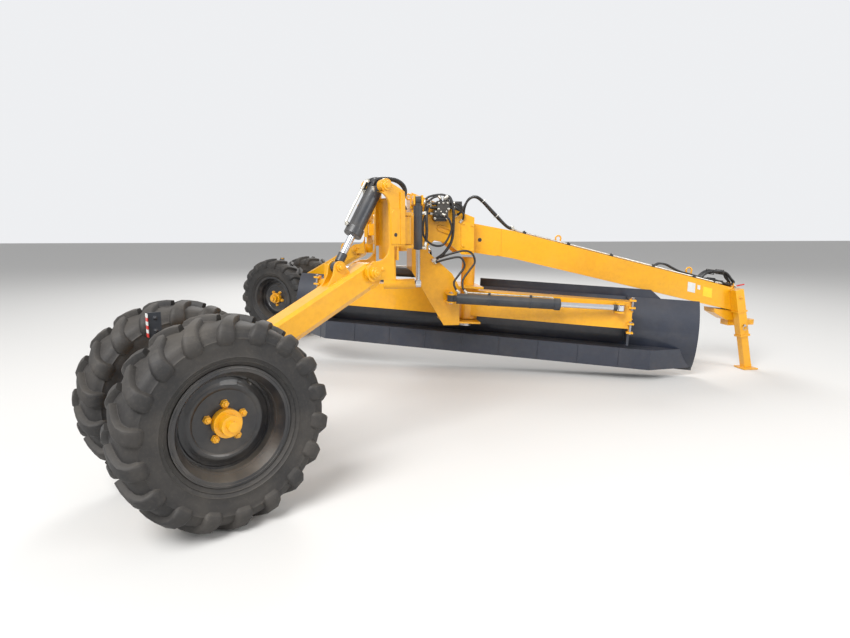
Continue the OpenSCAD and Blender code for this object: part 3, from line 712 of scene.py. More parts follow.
# %% [markdown]
# ## The tread of a farm tyre
# The four tyres are worn tractor tyres. A plain turned casing with straight teeth looks like a gear, so
# each tyre is built again over its CAD solid: the casing has the real bead, ribs and round shoulders,
# and every lug is a bar that follows the casing from the crown, over the shoulder and down the
# sidewall, where it fades. Each lug station is a distance from the middle, a radius and an angle round
# the wheel, with the lug's height and width there.

# %% Casing and lug shapes
casing_half = [(309, -112), (328, -115), (336, -127), (350, -133), (354, -140), (358, -136), (374, -142),
               (378, -148), (384, -145), (420, -152), (452, -154), (470, -152), (476, -155), (482, -149),
               (505, -144), (524, -133), (540, -112), (550, -74), (555, -34), (556, 0)]
casing_profile = casing_half + [(radius, -y) for radius, y in reversed(casing_half[:-1])]
lug_path = [(5, 557, 0.0), (-34, 556, 2.8), (-72, 551, 6.4), (-104, 543, 9.2), (-128, 527, 11.2),
            (-143, 505, 12.2), (-151, 482, 12.7), (-154, 462, 12.9), (-153, 446, 13.0)]
lug_height = [31, 33, 34, 35, 36, 31, 25, 15, 1]
lug_width = [21, 25, 30, 36, 43, 49, 51, 47, 34]
lugs_a_side = 18


def on_wheel(radius, y, angle):
    """A point round the wheel's Y axis, in degrees from the top towards the front."""
    a = math.radians(angle)
    return Vector((radius * math.sin(a), y, radius * math.cos(a)))


def lug_section(w, h):
    """A lug's section: half width w, height h, its foot sunk a little into the casing."""
    return [(-w, -4), (-w * 0.86, h * 0.72), (-w * 0.66, h * 0.97), (-w * 0.3, h), (w * 0.3, h),
            (w * 0.66, h * 0.97), (w * 0.86, h * 0.72), (w, -4)]


print("stations along a lug:", len(lug_path))

# %% [markdown]
# ## Farm tyres
# The casing is a closed ring of profiles. A lug's section is turned at every station so that it stands
# on the casing: its up direction is square to both the lug's path and the way round the wheel. Lugs of
# the two sides are half a step apart, as on a real tractor tyre. The CAD tyres stay for contact.

# %% Tyres
def casing(bench, centre, steps=96):
    """The casing's profile repeated round the wheel, the last one joined to the first."""
    rings = [[bench.mesh.verts.new(on_wheel(radius, y, 360 * k / steps) + centre)
              for radius, y in casing_profile] for k in range(steps)]
    count = len(casing_profile)
    for k in range(steps):
        near, far = rings[k], rings[(k + 1) % steps]
        for j in range(count):
            m = (j + 1) % count
            bench.mesh.faces.new((near[j], near[m], far[m], far[j]))


def lug(bench, centre, half, turn, lean):
    """One lug; half is 1 or -1 for its side, turn its place round the wheel, lean the way it points."""
    places = [on_wheel(radius, half * y, turn + lean * angle) for y, radius, angle in lug_path]
    rings = []
    for k, (y, radius, angle) in enumerate(lug_path):
        ahead = (places[min(k + 1, len(places) - 1)] - places[max(k - 1, 0)]).normalized()
        around = on_wheel(1, 0, turn + lean * angle + 90)
        out = ahead.cross(around).normalized()
        if out.dot(places[k] - Vector((0, half * y * 0.2, 0))) < 0:
            out = -out
        across = ahead.cross(out).normalized()
        rings.append([places[k] + across * a + out * b + centre
                      for a, b in lug_section(lug_width[k], lug_height[k])])
    bench.skin(rings)


tyre_middle = 390
lug_lean = -1
for side in ("right", "left"):
    for place, y in (("outer", -tyre_middle), ("inner", tyre_middle)):
        bench = Workbench(bracket_board[side])
        centre = Vector((axle[0], y, axle[1]))
        casing(bench, centre)
        for half in (-1, 1):
            for i in range(lugs_a_side):
                step = i + (0.5 if half > 0 else 0)
                lug(bench, centre, half, step * 360 / lugs_a_side, lug_lean)
        made = bench.done("%s_%s_farm_tyre" % (side, place), "%s_wheel_body" % side, "tyre_rubber", 42)
        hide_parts("%s_%s_tyre" % (side, place))
print("tyres built: 4, lugs each:", 2 * lugs_a_side)

# %% [markdown]
# ## Hoses of the right angle cylinder
# Two hoses leave the tower's opening, swing out in loops and drop to the cylinder's ports. The ports
# turn with the barrel and the other ends do not. The fitting at the tower rides on the frame and the one
# at the port on the barrel; the loops themselves ride on no body.

# %% Loops to the right angle cylinder
loop_lines = {
    "near": [(-398, -284, 1262), (-384, -314, 1272), (-300, -350, 1302), (-176, -398, 1330),
             (-125, -410, 1306), (-104, -410, 1232), (-160, -412, 1150), (-214, -420, 1072),
             (-200, -440, 1004), (-168, -448, 972)],
    "far": [(-360, -284, 1312), (-346, -314, 1322), (-240, -350, 1362), (-100, -378, 1394),
            (-20, -392, 1362), (6, -398, 1276), (-50, -408, 1194), (-118, -425, 1104),
            (-128, -446, 1020), (-92, -455, 966)],
}
long_port = [(-6, 17), (10, 17), (12, 14), (60, 14)]
for key, points in loop_lines.items():
    line = through(points)
    bench = Workbench(machine_board)
    bench.tube(line, hose_radius, 14)
    loop = bench.done("right_loop_" + key, None, "hose_rubber")
    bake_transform(loop)
    hose_end(machine_board, line[::-1], hose_radius, "right_loop_root_" + key, "frame")
    hose_end(machine_board, line, hose_radius, "right_loop_port_" + key, "right_angle_barrel_body", long_port)
print("loops to the right angle cylinder:", len(loop_lines))

# %% [markdown]
# ## Hoses of the left angle cylinder
# The left cylinder lies higher and the photograph hides it, so its two hoses come straight over the
# tower's left plate with one easy bend each.

# %% Loops to the left angle cylinder
short_port = [(-6, 17), (8, 17), (10, 14), (24, 14)]
for i in (0, 1):
    line = through([(-376 - i * 62, 286, 1372 - i * 20), (-374 - i * 62, 318, 1388 - i * 20),
                    (-362 - i * 64, 366, 1392 - i * 24), (-344 - i * 68, 420, 1330 - i * 20),
                    (-332 - i * 70, 440 + i * 11, 1240), (-330 - i * 70, 443 + i * 11, 1160)])
    bench = Workbench(machine_board)
    bench.tube(line, hose_radius, 14)
    loop = bench.done("left_loop_%d" % i, None, "hose_rubber")
    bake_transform(loop)
    hose_end(machine_board, line[::-1], hose_radius, "left_loop_root_%d" % i, "frame")
    hose_end(machine_board, line, hose_radius, "left_loop_port_%d" % i, "left_angle_barrel_body", short_port)
print("loops to the left angle cylinder: 2")

# %% [markdown]
# ## Hoses of the lift cylinders
# Each lift cylinder is fed by two arcs that spring from its top, pass close over its pin's eye and
# drop to the cross beam beside the swing pin. The bracket swings about that pin; the fitting at the
# cylinder rides on the bracket and the one at the beam on the cross beam, while the arcs ride on no body.

# %% Arcs over the brackets
arc_lines = [
    [(-300, 26, 1858), (-306, 24, 1905), (-280, 22, 1948), (-226, 20, 1971), (-150, 18, 1972),
     (-80, 16, 1970), (-12, 14, 1952), (32, 12, 1912), (38, 10, 1866), (14, 8, 1824), (-2, 6, 1800),
     (-6, 6, 1782)],
    [(-270, -34, 1880), (-274, -36, 1924), (-244, -38, 1962), (-180, -40, 1972), (-110, -40, 1972),
     (-50, -38, 1960), (0, -36, 1926), (14, -34, 1878), (-6, -32, 1834), (-24, -30, 1806), (-30, -30, 1782)],
]
cylinder_port = [(-4, 17), (20, 17), (22, 13), (60, 13)]
beam_port = [(-4, 17), (14, 17), (16, 14), (42, 14)]
for side in ("right", "left"):
    board = bracket_board[side]
    for i, points in enumerate(arc_lines):
        line = through(points)
        bench = Workbench(board)
        bench.tube(line, hose_radius, 14)
        hose = bench.done("%s_lift_hose_%d" % (side, i), None, "hose_rubber")
        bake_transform(hose)
        hose_end(board, line[::-1], hose_radius, "%s_lift_port_%d" % (side, i), "%s_bracket_body" % side,
                 cylinder_port)
        hose_end(board, line, hose_radius, "%s_lift_root_%d" % (side, i), "cross", beam_port)
print("arcs over the brackets: 4")

# %% [markdown]
# ## Steel pipes along the cross beam
# Between the brackets and the tower the oil runs in steel pipes clamped to the top of the cross beam,
# and short hoses carry it on to the tower across the roll pin. They follow the way such machines are
# piped; the photograph sees the cross beam only end-on.

# %% Pipes and clamps on the cross beam
pipe_places = (-900, -866)
pipe_z = 1756
pipe_start, pipe_end = 190, 1780
clamp_places = (1700, 1330, 960, 590, 250)
clamp_back, clamp_front, clamp_foot, clamp_width = -925, -840, 1741, 30

pipe_bench = Workbench(machine_board)
clamp_bench = Workbench(machine_board)
for side in (-1, 1):
    for x in pipe_places:
        pipe_bench.tube([(x, side * pipe_end, pipe_z), (x, side * pipe_start, pipe_z)], 9, 14)
    for y in clamp_places:
        near, far = side * y, side * (y + clamp_width)
        clamp_bench.slab([(clamp_back, near, clamp_foot), (clamp_back, far, clamp_foot),
                          (clamp_front, far, clamp_foot), (clamp_front, near, clamp_foot)], (0, 0, 26))
        clamp_bench.bolt((-883, side * (y + clamp_width // 2), 1766), (0, 0, 1), 7)
pipe_bench.done("cross_pipes", "cross", "pin_steel")
clamp_bench.done("cross_clamps", "cross", "valve_paint")
for side, side_name in ((-1, "right"), (1, "left")):
    for i, x in enumerate(pipe_places):
        line = through([(x, side * pipe_start, pipe_z), (x, side * 110, 1758),
                        (x + 10, side * 76, 1800 + i * 20), (x + 90, side * 66, 1880 + i * 24),
                        (-720, side * 70, 1880 + i * 26), (-676, side * (74 + i * 26), 1800 + i * 20)])
        bench = Workbench(machine_board)
        bench.tube(line, 10, 12)
        short = bench.done("roll_hose_%s_%d" % (side_name, i), None, "hose_rubber")
        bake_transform(short)
print("pipes on the cross beam:", 2 * len(pipe_places))

# %% [markdown]
# ## Ports and hoses of the tilt cylinder
# The small upright cylinder has a port at each end, with a steel elbow, and a fat sleeved hose lies
# along it. It turns only a fraction of a degree, so its hoses ride on the barrel.

# %% Tilt cylinder's elbows
tilt_y = -525
tilt_ports = (1772, 1432)
thin_line = through([(-530, tilt_y, 1790), (-524, -524, 1840), (-508, -515, 1880), (-484, -470, 1900),
                     (-458, -420, 1880)])
fat_line = through([(-530, tilt_y, 1450), (-520, -526, 1500), (-512, -528, 1600), (-516, -528, 1690),
                    (-514, -515, 1770), (-492, -470, 1836), (-460, -400, 1850)])
tilt_bench = Workbench(machine_board)
tilt_rubber = Workbench(machine_board)
for z in tilt_ports:
    tilt_bench.turned((-560, tilt_y, z), (1, 0, 0), [(-4, 17), (10, 17), (12, 13), (34, 13)], 16)
    tilt_bench.turned((-530, tilt_y, z), (0, 0, 1), [(-18, 13), (-16, 15), (16, 15), (18, 13)], 16)
tilt_rubber.tube(thin_line, 10, 12)
tilt_rubber.tube(fat_line, thick_radius, 14)
for line, radius in ((thin_line, 10), (fat_line[::-1], 13), (fat_line, 13)):
    crimp(tilt_bench, line, radius)
tilt_rubber.done("tilt_hoses", "tilt_barrel_body", "hose_rubber")
tilt_bench.done("tilt_elbows", "tilt_barrel_body", "zinc_plate")
print("tilt cylinder:", len(tilt_ports), "elbows")

# %% [markdown]
# ## Glands
# A cylinder is closed by a gland: a thick ring held by screws. Thin rings and a few set screws on each
# barrel's end give the light something to catch there. The angle cylinders lean two ways at once, so
# these pieces are placed in metres, straight from each cylinder's pin, instead of on a board.

# %% Rings on the cylinders
right_pin, left_pin = (-3.685471, -0.43, 0.387974), (-3.675945, 0.43, 0.569725)
right_reach, left_reach, angle_radius = 1.120, 0.920, 0.055
no_board = Matrix.Identity(4)


def gland_rings(name, start, along, reach, radius, body):
    """Rings and screws round a barrel's end; start is its pin, along its direction, reach its length."""
    along = Vector(along).normalized()
    across = along.orthogonal().normalized()
    beside = along.cross(across)
    tip = Vector(start) + along * reach
    nose = [(-0.004, 0.70), (0.003, 0.70), (0.006, 0.62), (0.008, 0.55)]
    ring = [(-0.052, 1.01), (-0.050, 1.03), (-0.046, 1.03), (-0.044, 1.01)]
    bench = Workbench(no_board)
    for profile, sides in ((nose, 28), (ring, 32)):
        bench.turned(tip, along, [(place, radius * share) for place, share in profile], sides)
    for a in ring_angles(6):
        spot = tip + (across * math.cos(a) + beside * math.sin(a)) * radius * 0.84
        bench.turned(spot, along, [(-0.001, 0.0042), (0.004, 0.0042), (0.005, 0.0034)], 8)
    bench.done(name, body, "cylinder_paint")


glands = [("right_angle", right_pin, (0.9824, -0.1795, -0.0515), right_reach, angle_radius),
          ("left_angle", left_pin, (-0.9862, 0.1573, 0.0517), left_reach, angle_radius),
          ("tilt", (-4.04, -0.525, 1.38), (0.0, 0.0, -1.0), 0.480, 0.045)]
for name, start, along, reach, radius in glands:
    gland_rings(name + "_gland", start, along, reach, radius, name + "_barrel_body")
print("gland rings:", len(glands))

# %% [markdown]
# ## Valve stack
# The hoses of the tower end in a stack of valves bolted to the outside of its right plate: a lower
# block with spool caps, an upper block with its ports on top, and a row of hexagon plugs. Blocks and
# turned caps in one dark mesh, and bright plugs in another, are enough for it to read as valves.

# %% Valve stack on the right plate
wall = -290
lower_face, upper_face = wall - 105, wall - 88
spool_cap = [(0, 16), (44, 16), (48, 13), (70, 13), (72, 10)]
face_cap = [(0, 17), (10, 17), (12, 13), (26, 13), (28, 9)]

stack = Workbench(machine_board)
block(stack, (-425, lower_face, 1712), (-275, wall, 1806))
block(stack, (-385, upper_face, 1806), (-257, wall, 1900))
block(stack, (-412, wall - 92, 1694), (-288, wall - 8, 1712))
for z in (1832, 1874):
    stack.turned((-385, wall - 45, z), (-1, 0, 0), spool_cap, 20)
    stack.turned((-257, wall - 45, z), (1, 0, 0), [(0, 15), (26, 15), (29, 11)], 20)
for i in range(3):
    stack.turned((-396 + i * 46, lower_face, 1752), (0, -1, 0), face_cap, 20)
for x in (-345, -303, -270):
    stack.turned((x, wall - 45, 1900), (0, 0, 1), [(0, 17), (12, 17), (14, 12), (20, 12)], 6)
rounded(stack.done("valve_stack", "frame", "valve_paint"), 0.003)

plugs = Workbench(machine_board)
for i in range(3):
    plugs.turned((-370 + i * 46, upper_face, 1878), (0, -1, 0), [(0, 11), (9, 11), (11, 8)], 6)
    plugs.turned((-405 + i * 55, lower_face, 1792), (0, -1, 0), [(0, 8), (7, 8), (8, 6)], 6)
for x, face, z in ((-412, lower_face, 1724), (-288, lower_face, 1724), (-372, upper_face, 1818),
                   (-270, upper_face, 1818)):
    plugs.bolt((x, face, z), (0, -1, 0), 9)
plugs.done("valve_plugs", "frame", "zinc_plate")
print("valve stack built")

# %% [markdown]
# ## Tower details
# On the right plate: a long slotted ring the hoses pass through, a lifting hook at the top rear corner
# and a doubler round the cross beam's pin, with their bolts. Ring and hook are bent from round rod, so
# each is a tube along a line of arcs.

# %% Ring, hook and doublers
slot_middle, slot_half, slot_radius = (-294, 1607), 56, 24
slot_lean = math.radians(-20)
slot_ring = []
for a in [2 * math.pi * k / 32 for k in range(33)]:
    x = slot_half * (1 if math.cos(a) > 0 else -1) + slot_radius * math.cos(a)
    z = slot_radius * math.sin(a)
    slot_ring.append((slot_middle[0] + x * math.cos(slot_lean) - z * math.sin(slot_lean),
                      slot_middle[1] + x * math.sin(slot_lean) + z * math.cos(slot_lean)))
hook = [(-634, 1958)] + arc(-668, 1944, 27, 30, 330, 20) + [(-634, 1930)]
pin_doubler = [(-672, 1498), (-480, 1498), (-474, 1504), (-474, 1622), (-480, 1628), (-672, 1628)]
front_doubler = [(-120, 1700), (16, 1676), (16, 1366), (-60, 1366), (-120, 1420)]
ear_doubler = [(-634, 1962), (-560, 1948), (-470, 1870), (-470, 1848), (-634, 1920)]

tower = Workbench(machine_board)
tower.tube(at_side(slot_ring, wall - 9), 8)
tower.tube(at_side(hook, -280), 9)
plate(tower, pin_doubler, wall - 5, 10)
plate(tower, front_doubler, wall - 4, 8)
for s in (-1, 1):
    plate(tower, ear_doubler, s * 294, 8)
for x, z in ((-650, 1516), (-650, 1610), (-496, 1516), (-496, 1610)):
    tower.bolt((x, wall - 10, z), (0, -1, 0), 12)
for x, z in ((-100, 1440), (-100, 1670), (-4, 1392), (-4, 1650)):
    tower.bolt((x, wall - 8, z), (0, -1, 0), 12)
rounded(tower.done("tower_details", "frame", "frame_paint"), 0.002)
print("tower details built")

# %% [markdown]
# ## Weld beads
# Where two plates meet the welder leaves a rippled bead. A thin tube whose every other ring is a little
# thicker looks like one, and it needs no bump in the paint.

# %% Beads along the tower's joints
def weld(bench, line, radius=5):
    """A weld bead: a tube along the joint with a fine ripple."""
    bench.tube(through(line, 14), radius, 10, 0.16)


beads = Workbench(machine_board)
for s in (-1, 1):
    weld(beads, [(21, s * 126, 1378), (21, s * 126, 1520), (21, s * 126, 1676)])
    weld(beads, [(0, s * 268, 1366), (0, s * 268, 1540), (0, s * 268, 1716)], 4)
    weld(beads, [(-610, s * 268, 1200), (-610, s * 268, 1560), (-610, s * 268, 1930)], 4)
weld(beads, [(21, -126, 1680), (21, 0, 1682), (21, 126, 1680)])
beads.done("tower_welds", "frame", "frame_paint")
print("weld beads: 7")

# %% [markdown]
# ## Steel pipes on the beam
# Two steel pipes run along the right edge of the beam's top under small clamps, with a hexagon coupling
# at each end. The beam slopes, so a helper turns a distance along it and a height above it into a place.

# %% Pipes and their clamps
beam_back, beam_front = Vector((480, 0, 1596)), Vector((3150, 0, 935))
beam_dir = (beam_front - beam_back).normalized()
beam_up = Vector((-beam_dir.z, 0, beam_dir.x))


def on_beam(along, y, up):
    """A place on the beam's sloping top, measured from its bend."""
    return beam_back + beam_dir * along + beam_up * up + Vector((0, y, 0))


pipe_up = 13
pipes = Workbench(machine_board)
for y in (-104, -76):
    line = [on_beam(along, y, pipe_up) for along in (24, 600, 1300, 2480)] + [on_beam(2530, y - 4, 22)]
    pipes.tube(through(line, 8), 9, 14)
    for along in (22, 2505):
        pipes.turned(on_beam(along, y, pipe_up), beam_dir, [(0, 14), (24, 14), (26, 11)], 6)
pipes.done("beam_pipes", "frame", "zinc_plate")

clamps = Workbench(machine_board)
clamp_corners = ((0, -122), (34, -122), (34, -58), (0, -58))
for along in (120, 640, 1160, 1680, 2200):
    clamps.skin([[on_beam(along + a, y, up) for a, y in clamp_corners] for up in (-1, 25)])
    clamps.bolt(on_beam(along + 17, -90, 25), beam_up, 9)
rounded(clamps.done("beam_pipe_clamps", "frame", "valve_paint"), 0.002)
print("beam slopes", round(math.degrees(math.atan2(-beam_dir.z, beam_dir.x)), 1), "degrees")

# %% [markdown]
# ## Doublers and lifting loops
# A doubler closes the beam's root on both sides, with a round hole through it, and two loops of round
# bar stand on the beam's top for slings. The holes are thin dark discs of painted shade for their unlit
# inside.

# %% Doublers, loops and holes
root_plate = [(24, 1672), (350, 1614), (350, 1326), (24, 1380)]
root_strip = [(24, 1386), (300, 1340), (300, 1324), (24, 1368)]
front_loop = [(2668, 1050)] + arc(2634, 1138, 34, -30, 210, 16) + [(2600, 1062)]
back_loop = [(1068, 1440)] + arc(1040, 1512, 30, -30, 210, 16) + [(1010, 1452)]

extras = Workbench(machine_board)
beam_shade_discs = Workbench(machine_board)
for s in (-1, 1):
    plate(extras, root_plate, s * 130, 11)
    plate(extras, root_strip, s * 134, 18)
    # Each hole is a thin dark disc: painted shade for the dark inside of the hole.
    beam_shade_discs.turned((114, s * 135.6, 1500), (0, s, 0), [(0, 21), (0.8, 21), (0.9, 19)], 30)
extras.tube(at_side(front_loop, 0), 10, 14)
extras.tube(at_side(back_loop, 0), 9, 14)
rounded(extras.done("beam_doublers_and_loops", "frame", "frame_paint"), 0.002)
beam_shade_discs.done("beam_hole_shade", "frame", "valve_paint")
print("loops on the beam: 2")

# %% [markdown]
# ## Signs
# Small signs are stuck on both sides of the beam. They are plain patches here: thin skins just proud of
# the steel, their corners measured from the beam's sloping top edge, in white and amber of their own.

# %% Plain signs on the beam
def sign(name, corners, finish):
    """A thin plain sign on the beam's right and left side."""
    bench = Workbench(machine_board)
    for s in (-1, 1):
        bench.skin([at_side(corners, s * 125.2), at_side(corners, s * 126.4)])
    bench.done(name, "frame", finish)


def beam_patch(x0, x1, low, high):
    """A patch that follows the beam's slope; low and high are measured down from the top edge."""
    slope = (beam_front.z - beam_back.z) / (beam_front.x - beam_back.x)
    top = [beam_back.z + (x - beam_back.x) * slope for x in (x0, x1)]
    return [(x0, top[0] - high), (x1, top[1] - high), (x1, top[1] - low), (x0, top[0] - low)]


finish_of["sign_white"] = paint("sign_white", colour(0.72, 0.72, 0.70), colour(0.45, 0.44, 0.40),
                                dust_amount=0.10, roughness=0.35, coat=0.2)
finish_of["sign_amber"] = paint("sign_amber", colour(0.88, 0.62, 0.02), colour(0.60, 0.36, 0.01),
                                dust_amount=0.05, roughness=0.35, coat=0.2)
sign("sign_white_patch", beam_patch(2556, 2650, 62, 172), "sign_white")
sign("sign_small_patch", beam_patch(2676, 2712, 70, 120), "sign_white")
sign("sign_amber_patch", beam_patch(2748, 2862, 72, 180), "sign_amber")
print("signs: 3 on each side")

# %% [markdown]
# ## Parked hose coil
# The hoses that plug into the tractor are tied up on the front of the beam while it is parked. Each
# turn of the coil is a loop through a few points with its own offset, so that no two lie alike. Two
# hoses come up the beam and feed the coil.

# %% Hose coil
coil_points = [(2741, 1046), (2800, 1096), (2870, 1116), (2987, 1112), (3060, 1086), (3106, 1030),
               (3140, 985), (3085, 962), (2990, 990), (2880, 1022), (2790, 1030)]
feed_points = [(2150, -90, 1190), (2205, -94, 1226), (2297, -90, 1216), (2380, -88, 1176),
               (2470, -84, 1136), (2620, -70, 1096)]
coil_turns = 5
coil_start, coil_step = -96, 26

coil = Workbench(machine_board)
for turn in range(coil_turns):
    shift = Vector((7 * math.sin(turn * 2.2), coil_start + coil_step * turn, 9 * math.cos(turn * 1.7) + 8))
    line = [Vector((x, 9 * math.sin(k * 1.9 + turn), z)) + shift
            for k, (x, z) in enumerate(coil_points + coil_points[:1])]
    coil.tube(through(line), hose_radius, 14)
for turn in range(2):
    feed = [(x, y + 30 * turn, z) for x, y, z in feed_points] + [(2741, -70 + coil_step * turn, 1062)]
    coil.tube(through(feed), hose_radius, 14)
coil.done("hose_coil", "frame", "hose_rubber")
print("turns in the coil:", coil_turns)

# %% [markdown]
# ## Ties and couplings
# Straps hold the turns together, and the couplings at the hoses' ends are parked in a row on a small
# holder, where they stay clean.

# %% Coil ties, couplings and their holder
ties = Workbench(machine_board)
for x, z in ((2870, 1124), (2990, 1120), (2990, 996), (2890, 1026)):
    ties.tube([(x, -118, z - 24), (x, -118, z + 26), (x, 28, z + 26), (x, 28, z - 24),
               (x, -118, z - 24)], 5, 8)
ties.done("coil_ties", "frame", "valve_paint")

coupling = [(0, 13), (18, 13), (20, 16), (44, 16), (46, 12), (60, 12), (62, 9)]
couplings = Workbench(machine_board)
for turn in range(coil_turns):
    couplings.turned((3128, coil_start + coil_step * turn, 978), (0.85, 0, -0.5), coupling, 18)
couplings.done("coil_couplings", "frame", "zinc_plate")

holder = Workbench(machine_board)
block(holder, (3126, -118, 930), (3134, 28, 996))
block(holder, (3104, -118, 926), (3134, -110, 960))
rounded(holder.done("coupling_holder", "frame", "frame_paint"), 0.002)
print("couplings parked:", coil_turns)

# %% [markdown]
# ## Front lever
# A small red lever stands at the beam's tip. It is one flat plate on a short round boss.

# %% Lever
finish_of["lever_paint"] = paint("lever_paint", colour(0.62, 0.02, 0.012), colour(0.30, 0.01, 0.008),
                                 dust_amount=0.08, roughness=0.32, coat=0.3)
lever_side = [(3120, 934), (3132, 960), (3280, 984), (3286, 970), (3150, 944), (3150, 930)]
lever = Workbench(machine_board)
plate(lever, lever_side, -90, 12)
lever.turned((3136, -104, 944), (0, 1, 0), [(0, 12), (28, 12)], 16)
rounded(lever.done("front_lever", "frame", "lever_paint"), 0.003)
print("front lever built")

# %% [markdown]
# ## Pipes and collars of the angle cylinders
# The two long cylinders carry a steel pipe along their back from the port at the base to the port at the
# gland, held by two straps, and end in a thicker collar. Before its eye the right rod has a dark sleeve.

# %% Angle cylinders' pipes, collars and sleeve
def dress_barrel(name, start, along, reach, radius):
    """Collar, straps and pipe of a barrel, in metres; start is its pin, along its direction."""
    up = (Vector((0, 0, 1)) - along * along.z).normalized()
    body = name + "_barrel_body"
    collar = Workbench(no_board)
    collar.turned(start + along * (reach - 0.060), along, [
        (0, radius * 0.99), (0.001, radius + 0.007), (0.058, radius + 0.007), (0.060, radius * 0.9)], 40)
    for t in (0.34, 0.72):
        collar.turned(start + along * reach * t, along, [
            (0, radius * 0.99), (0.001, radius + 0.003), (0.021, radius + 0.003), (0.022, radius * 0.99)], 40)
        collar.turned(start + along * (reach * t - 0.002) + up * (radius + 0.012), along,
                      [(0, 0.014), (0.026, 0.014)], 16)
    collar.done(name + "_collar", body, "cylinder_paint")
    first_port, last_port = 0.150, reach - 0.078
    stations = [(first_port, -0.004), (0.156, 0.008), (0.190, 0.012), (reach * 0.5, 0.012),
                (reach - 0.120, 0.012), (reach - 0.084, 0.008), (last_port, -0.004)]
    pipe = Workbench(no_board)
    pipe.tube(through([start + along * t + up * (radius + rise) for t, rise in stations]), 0.0075, 12)
    for t in (first_port, last_port):
        pipe.turned(start + along * t + up * (radius - 0.002), up,
                    [(0, 0.014), (0.010, 0.014), (0.011, 0.010)], 6)
    pipe.done(name + "_pipe", body, "zinc_plate")


right_along = Vector((0.982414, -0.179474, -0.051486)).normalized()
left_along = Vector((-0.986201, 0.157276, 0.051685)).normalized()
dress_barrel("right_angle", Vector(right_pin), right_along, right_reach, angle_radius)
dress_barrel("left_angle", Vector(left_pin), left_along, left_reach, angle_radius)
right_span = 1.7307
sleeve = Workbench(no_board)
sleeve.turned(Vector(right_pin) + right_along * (right_span - 0.071), right_along,
              [(0, 0.0285), (0.002, 0.0335), (0.036, 0.0335), (0.040, 0.029)], 28)
sleeve.done("right_angle_sleeve", "right_angle_rod_body", "cylinder_paint")
print("angle cylinders dressed: 2")

# %% [markdown]
# ## Ends of the blade
# A plate with pinned lugs closes each end of the blade beam, where the moldboard's end strap is
# clamped. The pins stand upright through pairs of lugs, each under a hexagon head.

# %% End plates and their pins
end_x = 1729
ends = Workbench(blade_board)
pins = Workbench(blade_board)
for s in (-1, 1):
    x = s * end_x
    near, far = sorted((x, x + s * 22))
    block(ends, (near, -112, -196), (far, -32, 178))
    near, far = sorted((x - s * 20, x + s * 46))
    for z in (-176, -84, 84, 160):
        block(ends, (near, -150, z - 9), (far, -84, z + 9))
    for z in (-130, 122):
        pins.turned((x + s * 14, -132, z - 66), (0, 0, 1), [(0, 10), (2, 12), (128, 12), (132, 9)], 20)
        pins.turned((x + s * 14, -132, z + 60), (0, 0, 1), [(0, 17), (8, 17), (10, 14)], 6)
    for z in (40, -40):
        ends.bolt((s * (end_x + 22), -88, z), (s, 0, 0), 10)
rounded(ends.done("blade_beam_end_plates", "blade", "frame_paint"), 0.002)
pins.done("blade_end_pins", "blade", "pin_steel")
print("end plates: 2")

# %% [markdown]
# ## Seams and edge bolts
# Welded seams mark the plates of the box behind the cutting edge, and countersunk bolts hold the edge.
# Both are rows of one small form, so two loops make them.

# %% Seams and edge bolts
carrier_face, edge_face = 58, 471.8
seams = Workbench(blade_board)
for x in range(-1760, 1681, 430):
    seams.tube(through([(x, carrier_face, z) for z in (-584, -480, -380)], 8), 4, 8, 0.15)
seams.done("carrier_seams", "blade", "blade_paint")
edge = Workbench(blade_board)
for x in range(-2120, 2405, 156):
    edge.turned((x, edge_face, -548), (0, 1, 0), [(0, 13), (2, 13), (3, 11)], 16)
edge.done("edge_bolts", "blade", "pin_steel")
print("seams: 9, edge bolts: 30")

# %% [markdown]
# ## Ribs and valve stems of the wheels
# A pressed rib rings each wheel disc, thin ribs follow the rim's steps, and a valve stem looks out of
# the rim. They ride on the wheel's body and turn with it.

# %% Disc ribs and valve stems
disc_side = 402
disc_rib = [(0, 62), (3, 66), (3, 150), (4, 178), (13, 190), (14, 200), (12, 212), (4, 224), (3, 240),
            (0, 250)]
rim_ribs = ((318, 117), (300, 106), (272, 62))
stem_line = ((262, 44), (246, 62), (240, 96))
stem_out = Vector((math.cos(1.1), 0, math.sin(1.1)))

for side in ("right", "left"):
    ribs = Workbench(bracket_board[side])
    stems = Workbench(bracket_board[side])
    for s in (-1, 1):
        face = Vector((axle[0], s * disc_side, axle[1]))
        ribs.turned(face, (0, s, 0), disc_rib, 64)
        for radius, lift in rim_ribs:
            rim_ring = [face + Vector((radius * math.cos(a), s * lift, radius * math.sin(a)))
                        for a in ring_angles(72)]
            ribs.tube(rim_ring + rim_ring[:1], 3.5, 8)
        stems.tube(through([face + stem_out * out + Vector((0, s * y, 0)) for out, y in stem_line]), 4.5, 10)
        stems.turned(face + stem_out * 240 + Vector((0, s * 94, 0)), (0, s, 0),
                     [(0, 6.5), (14, 6.5), (16, 4)], 12)
    ribs.done("%s_disc_ribs" % side, "%s_wheel_body" % side, "rim_paint")
    stems.done("%s_valve_stems" % side, "%s_wheel_body" % side, "valve_paint")
print("wheel discs dressed: 4")

# %% [markdown]
# ## Wheel nuts
# Five large nuts hold each disc, on a circle of 205 mm, with the stud's tip showing in each.

# %% Nuts and studs
nut_count, nut_circle, nut_side = 5, 102.5, 404
for side in ("right", "left"):
    nuts = Workbench(bracket_board[side])
    for s in (-1, 1):
        for k in range(nut_count):
            a = math.radians(360 / nut_count * k - s * 90)
            spot = (axle[0] + nut_circle * math.cos(a), s * nut_side, axle[1] + nut_circle * math.sin(a))
            nuts.turned(spot, (0, s, 0), [(0, 25), (3, 25), (4, 22), (20, 22), (23, 19)], 6)
            nuts.turned(spot, (0, s, 0), [(20, 11), (30, 11), (32, 9)], 16)
    rounded(nuts.done("%s_wheel_nuts" % side, "%s_wheel_body" % side, "frame_paint"), 0.001)
print("nuts:", 4 * nut_count)

